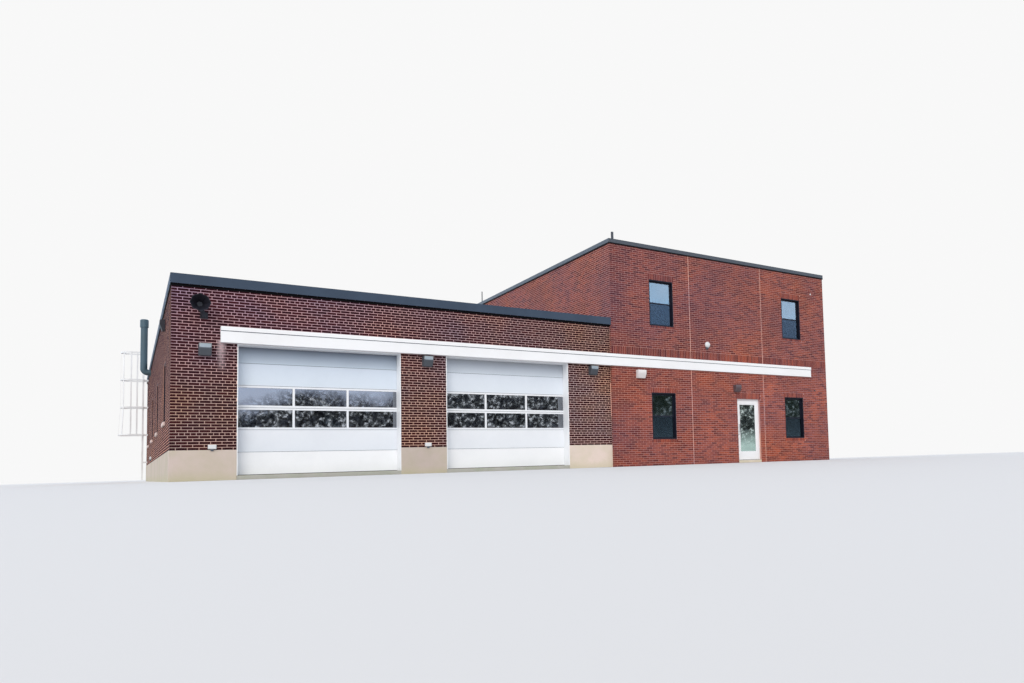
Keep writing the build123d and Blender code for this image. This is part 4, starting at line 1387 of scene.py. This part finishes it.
class STATION_OT_finish_entry_door(bpy.types.Operator):
    """Finish the entry door, its frame and its fittings"""

    bl_idname = "station.finish_entry_door"
    bl_label = "Finish entry door"

    def execute(self, context):
        dress("white", "entry_frame", "entry_door_leaf", "entry_frame_hinges", "entry_door_hinges")
        dress("entry_glass", "entry_door_glass")
        dress("steel", "entry_door_pull")
        dress("galvanised", "entry_threshold")
        bm = bmesh.new()
        low = (pane_low.x - step_x, pane_low.z, block_y - pane_high.y)
        high = (pane_high.x - step_x, pane_high.z, block_y - pane_low.y)
        add_frame(bm, low, high, bead_w, bead_t)
        keep("entry_door_beads", bm, "white", "entry_door", block_face)
        return {"FINISHED"}


class STATION_OT_finish_fittings(bpy.types.Operator):
    """Finish the lamps, horn, boxes, stack, ladder and masts"""

    bl_idname = "station.finish_fittings"
    bl_label = "Finish fittings"

    def execute(self, context):
        self.make_lamps()
        dress("horn_black", "siren_horn")
        self.make_boxes()
        dress("stack_metal", "exhaust_stack")
        dress("ladder_white", "roof_ladder", "ladder_cage")
        dress("mast_dark", "roof_masts")
        return {"FINISHED"}

    def make_boxes(self):
        """Makes the outlet covers with a plug below each, the round speaker, and the block's small caps."""
        covers, plugs = bmesh.new(), bmesh.new()
        for low, high in solids_of("wall_boxes"):
            middle = (low + high) / 2
            if middle.z > band_low.z:
                r, d = (high.x - low.x) * 0.4, high.y - low.y
                place = face_at(middle.x, high.y, 0) @ Matrix.Translation((0, middle.z, 0))
                section = ((0, 0), (r * 0.9, 0), (r, d * 0.35), (r * 0.8, d * 0.8), (r * 0.4, d), (0, d))
                keep("wall_speaker", turned(section, place), "box_white", smooth=True)
                place = place @ Matrix.Translation((-r * 0.2, -r * 1.05, 0))
                section = ((0, 0), (r * 0.5, 0), (r * 0.45, d * 0.6), (0, d * 0.7))
                keep("speaker_gland", turned(section, place), "lamp_body", smooth=True)
                continue
            add_box(covers, low, high, cover_round)
            foot = (low.x + lid_edge, low.y - lid_out, low.z + lid_edge)
            lid = (high.x - lid_edge, low.y + lid_in, high.z - lid_edge)
            add_box(covers, foot, lid, lid_round)
            foot = (middle.x - plug_w / 2, low.y + plug_set, low.z - plug_drop)
            top = (middle.x + plug_w / 2, high.y, low.z + plug_rise)
            add_box(plugs, foot, top, plug_round)
        cover = keep("outlet_covers", covers, "box_white")
        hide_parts("wall_boxes")
        keep("outlet_plugs", plugs, "lamp_body")
        for name, key, (x, z), r in small_caps:
            place = block_face @ Matrix.Translation((x, z, 0))
            section = ((0, 0), (r, 0), (r * 0.8, r * 0.5), (0, r * 0.7))
            keep(name, turned(section, place, 16), key, smooth=True)

    def make_lamps(self):
        """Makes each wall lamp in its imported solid's box: a housing with a raked glass front."""
        flood, *packs, wedge, entry = solids_of("wall_lamps")
        kinds = [("flood", flood, ("horn_black", "horn_black", "dark_lens"), -90)]
        for i, box in enumerate(packs):
            kinds.append((f"pack_{i + 1}", box, ("lamp_body", "lamp_silver", "lens"), 0))
        kinds.append(("wedge", wedge, ("wedge_white",) * 3, 0))
        kinds.append(("entry", entry, ("entry_lamp_body",) * 3, 0))
        for name, (low, high), (key, trim, lens), turn in kinds:
            if turn:
                matrix = face_at(high.x, high.y, turn)
                w, d = (high.y - low.y) * flood_slim, (high.x - low.x) * flood_slim
            else:
                matrix, w, d = face_at(low.x, high.y, turn), high.x - low.x, high.y - low.y
            matrix = matrix @ Matrix.Translation((0, low.z, 0))
            h = high.z - low.z
            body = raked_box((0, 0, 0), (w, h, d), lamp_round)
            keep(f"lamp_{name}_housing", body, key, matrix=matrix)
            foot, top = (rim_edge, h * rim_foot, d * lens_set), (w - rim_edge, h - rim_edge, d + rim_out)
            keep(f"lamp_{name}_rim", raked_box(foot, top, lens_round), trim, matrix=matrix)
            foot, top = (lens_edge, h * lens_foot, d * lens_set), (w - lens_edge, h - lens_edge, d + lens_out)
            keep(f"lamp_{name}_glass", raked_box(foot, top, lens_round), lens, matrix=matrix)
        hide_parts("wall_lamps")


def ragged_edge(tree, way):
    """The height of a dark edge above the horizon, which rises and falls with the way it lies."""
    side = axes(tree, way)["X"]
    tall = ramp(tree, side, [(place, grey(height)) for place, height in edge_heights])
    ragged = product(tree, maths(tree, "SUBTRACT", noise(tree, way, 11.0, 8.0, 0.7), 0.5), 0.07)
    return maths(tree, "ADD", tall, ragged)


def fine_mesh(tree, way):
    """A net of fine dark lines of three sizes, 0 on a line and 1 between them."""
    bent = noise(tree, way, 30.0, 4.0, 0.6, "Color")
    bent = add(tree, "ShaderNodeVectorMath", {0: way, 1: bent}, operation="ADD").outputs[0]
    bent = mixed(tree, 0.06, way, bent)
    nets = []
    for size, width in ((26.0, 0.035), (70.0, 0.11), (150.0, 0.22)):
        net = add(tree, "ShaderNodeTexVoronoi", {"Vector": bent, "Scale": size}, feature="DISTANCE_TO_EDGE")
        nets.append(spread(tree, net.outputs[0], (0.0, width)))
    return product(tree, *nets)


def mirrored_world(tree, way):
    """What glass and metal mirror: a cloudy sky above a dark, ragged edge with haze at its foot."""
    side, height = (axes(tree, way)[axis] for axis in ("X", "Z"))
    clouds = spread(tree, noise(tree, way, 5.0, 5.0, 0.6), (0.34, 0.58))
    high = spread(tree, height, (0.09, 0.17))
    clear = product(tree, less(tree, clouds), high)
    sky = mixed(tree, clear, colour(tint(208, 218, 236)), colour(tint(172, 208, 240)))
    under = maths(tree, "SUBTRACT", ragged_edge(tree, way), height)
    inside = spread(tree, under, (-0.014, 0.006))
    open_share = less(tree, product(tree, inside, less(tree, fine_mesh(tree, way))))
    seen = mixed(tree, open_share, colour(tint(34, 34, 44)), sky)
    deep = spread(tree, under, (-0.002, 0.012))
    specks = (
        (0.44, tint(6, 6, 10)),
        (0.51, tint(40, 42, 38)),
        (0.56, tint(120, 124, 124)),
        (0.61, tint(240, 242, 244)),
    )
    specks = ramp(tree, noise(tree, way, 190.0, 5.0, 0.75), specks)
    seen = mixed(tree, product(tree, deep, 0.9), seen, specks)
    dim = ramp(tree, side, [(place, grey(share)) for place, share in dim_places])
    seen = mixed(tree, product(tree, dim, deep), seen, colour(tint(28, 36, 22)))
    haze = spread(tree, height, (0.018, 0.042), (0.9, 0.0))
    return mixed(tree, haze, seen, colour(tint(190, 206, 204)))


def make_world(strength):
    """Light from all round, stronger from the left, a pale backdrop, and a surrounding to mirror."""
    world = bpy.data.worlds.new("Station sky")
    bpy.context.scene.world = world
    world.use_nodes = True
    tree = world.node_tree
    tree.nodes.clear()
    way = add(tree, "ShaderNodeTexCoord").outputs["Generated"]
    side, height = (axes(tree, way)[axis] for axis in ("X", "Z"))
    rays = add(tree, "ShaderNodeLightPath").outputs
    mirror = maths(tree, "MAXIMUM", rays["Is Glossy Ray"], rays["Is Transmission Ray"])
    rise = spread(tree, height, to=(0.9, 0.7))
    leftward = spread(tree, side, (-1.0, 1.0), (1.75, 0.6))
    bright = spread(tree, height, (0.1, 0.19), (2.5, 2.3))
    lit, glossy, shown = (
        add(tree, "ShaderNodeBackground", {"Color": shade, "Strength": power}).outputs[0]
        for shade, power in (
            (colour(tint(240, 242, 247)), product(tree, rise, leftward, strength)),
            (mirrored_world(tree, way), bright),
            (grey(0.94), 1.0),
        )
    )
    part = add(tree, "ShaderNodeMixShader", {0: mirror, 1: lit, 2: glossy}).outputs[0]
    whole = add(tree, "ShaderNodeMixShader", {0: rays["Is Camera Ray"], 1: part, 2: shown}).outputs[0]
    add(tree, "ShaderNodeOutputWorld", {"Surface": whole})


def make_floor(main):
    """A floor that is level under the building and falls gently towards the camera."""
    bm = bmesh.new()
    reach, bounce, gap = 260.0, 0.8, 0.001
    bmesh.ops.create_grid(bm, x_segments=2, y_segments=160, size=reach)
    fall_from, fall_to, drop = bay_y - 1.5, bay_y - 24.0, 1.25
    for v in bm.verts:
        share = min(1.0, max(0.0, (fall_from - v.co.y) / (fall_from - fall_to)))
        v.co.z = -gap - drop * share * share * (3 - 2 * share)
    mesh = bpy.data.meshes.new("stage_floor")
    bm.to_mesh(mesh)
    bm.free()
    mesh.shade_smooth()
    floor = bpy.data.objects.new("stage_floor", mesh)
    bpy.context.scene.collection.objects.link(floor)
    material, tree, shader = new_material("stage_floor")
    seen = add(tree, "ShaderNodeLightPath").outputs["Is Camera Ray"]
    shade = mixed(tree, seen, colour([v * bounce for v in main]), colour(main))
    tree.links.new(shade, shader.inputs["Base Color"])
    shader.inputs["Roughness"].default_value = 0.9
    shader.inputs["Specular IOR Level"].default_value = 0.2
    mesh.materials.append(material)


class STATION_OT_set_stage(bpy.types.Operator):
    """Set the camera, the lights and the floor"""

    bl_idname = "station.set_stage"
    bl_label = "Set stage"

    def execute(self, context):
        stage = context.scene.station_stage
        image_w, image_h, sensor = 1024, 683, 36.0
        yaw, pitch, roll = (math.radians(v) for v in stage.camera_turn)
        ahead = Vector((math.sin(yaw) * math.cos(pitch), math.cos(yaw) * math.cos(pitch), math.sin(pitch)))
        right = Vector((math.cos(yaw), -math.sin(yaw), 0))
        up = right.cross(ahead)
        right, up = math.cos(roll) * right + math.sin(roll) * up, math.cos(roll) * up - math.sin(roll) * right
        data = bpy.data.cameras.new("camera")
        camera = bpy.data.objects.new("camera", data)
        context.scene.collection.objects.link(camera)
        place = Vector((left_x, bay_y, 0)) + Vector(stage.camera_place)
        camera.matrix_world = Matrix.Translation(place) @ Matrix((right, up, -ahead)).transposed().to_4x4()
        data.sensor_width = sensor
        data.lens = stage.focal_px / image_w * sensor
        data.shift_x = (image_w / 2 - stage.middle_px[0]) / image_w
        data.shift_y = (stage.middle_px[1] - image_h / 2) / image_w
        data.clip_end = 2000
        context.scene.camera = camera
        sun = bpy.data.objects.new("sun", bpy.data.lights.new("sun", "SUN"))
        sun.data.energy = stage.sun
        sun.data.angle = math.radians(sun_spread)
        sun.data.color = tint(255, 250, 242)
        sun.rotation_euler = Vector(sun_from).to_track_quat("Z", "Y").to_euler()
        context.scene.collection.objects.link(sun)
        make_world(stage.sky)
        make_floor(stage.floor)
        context.scene.view_settings.view_transform = "Standard"
        return {"FINISHED"}


class STATION_PT_steps(bpy.types.Panel):
    """The steps that finish the station, and what can be changed"""

    bl_idname = "STATION_PT_steps"
    bl_label = "Fire station"
    bl_space_type = "VIEW_3D"
    bl_region_type = "UI"
    bl_category = "Station"

    def draw(self, context):
        for operator in steps:
            self.layout.operator(operator.bl_idname)
        for group in ("station_brick", "station_metal", "station_stage"):
            box = self.layout.box()
            settings = getattr(context.scene, group)
            for name in settings.__annotations__:
                box.prop(settings, name)


steps = (
    STATION_OT_set_stage,
    STATION_OT_lay_bay_brick,
    STATION_OT_lay_block_brick,
    STATION_OT_fill_movement_joints,
    STATION_OT_finish_concrete,
    STATION_OT_finish_roofs,
    STATION_OT_finish_band,
    STATION_OT_finish_overhead_doors,
    STATION_OT_finish_windows,
    STATION_OT_finish_entry_door,
    STATION_OT_finish_fittings,
)
groups = {"station_brick": StationBrick, "station_metal": StationMetal, "station_stage": StationStage}


def register():
    """Registers the classes and gives the scene its settings."""
    for cls in (*groups.values(), *steps, STATION_PT_steps):
        bpy.utils.register_class(cls)
    for name, cls in groups.items():
        setattr(bpy.types.Scene, name, bpy.props.PointerProperty(type=cls))


def unregister():
    """Takes the settings and the classes away again."""
    for name in groups:
        delattr(bpy.types.Scene, name)
    for cls in reversed((*groups.values(), *steps, STATION_PT_steps)):
        bpy.utils.unregister_class(cls)


def main():
    """Runs every step in order."""
    register()
    for operator in steps:
        space, name = operator.bl_idname.split(".")
        getattr(getattr(bpy.ops, space), name)()
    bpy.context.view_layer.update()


if __name__ == "__main__":
    main()
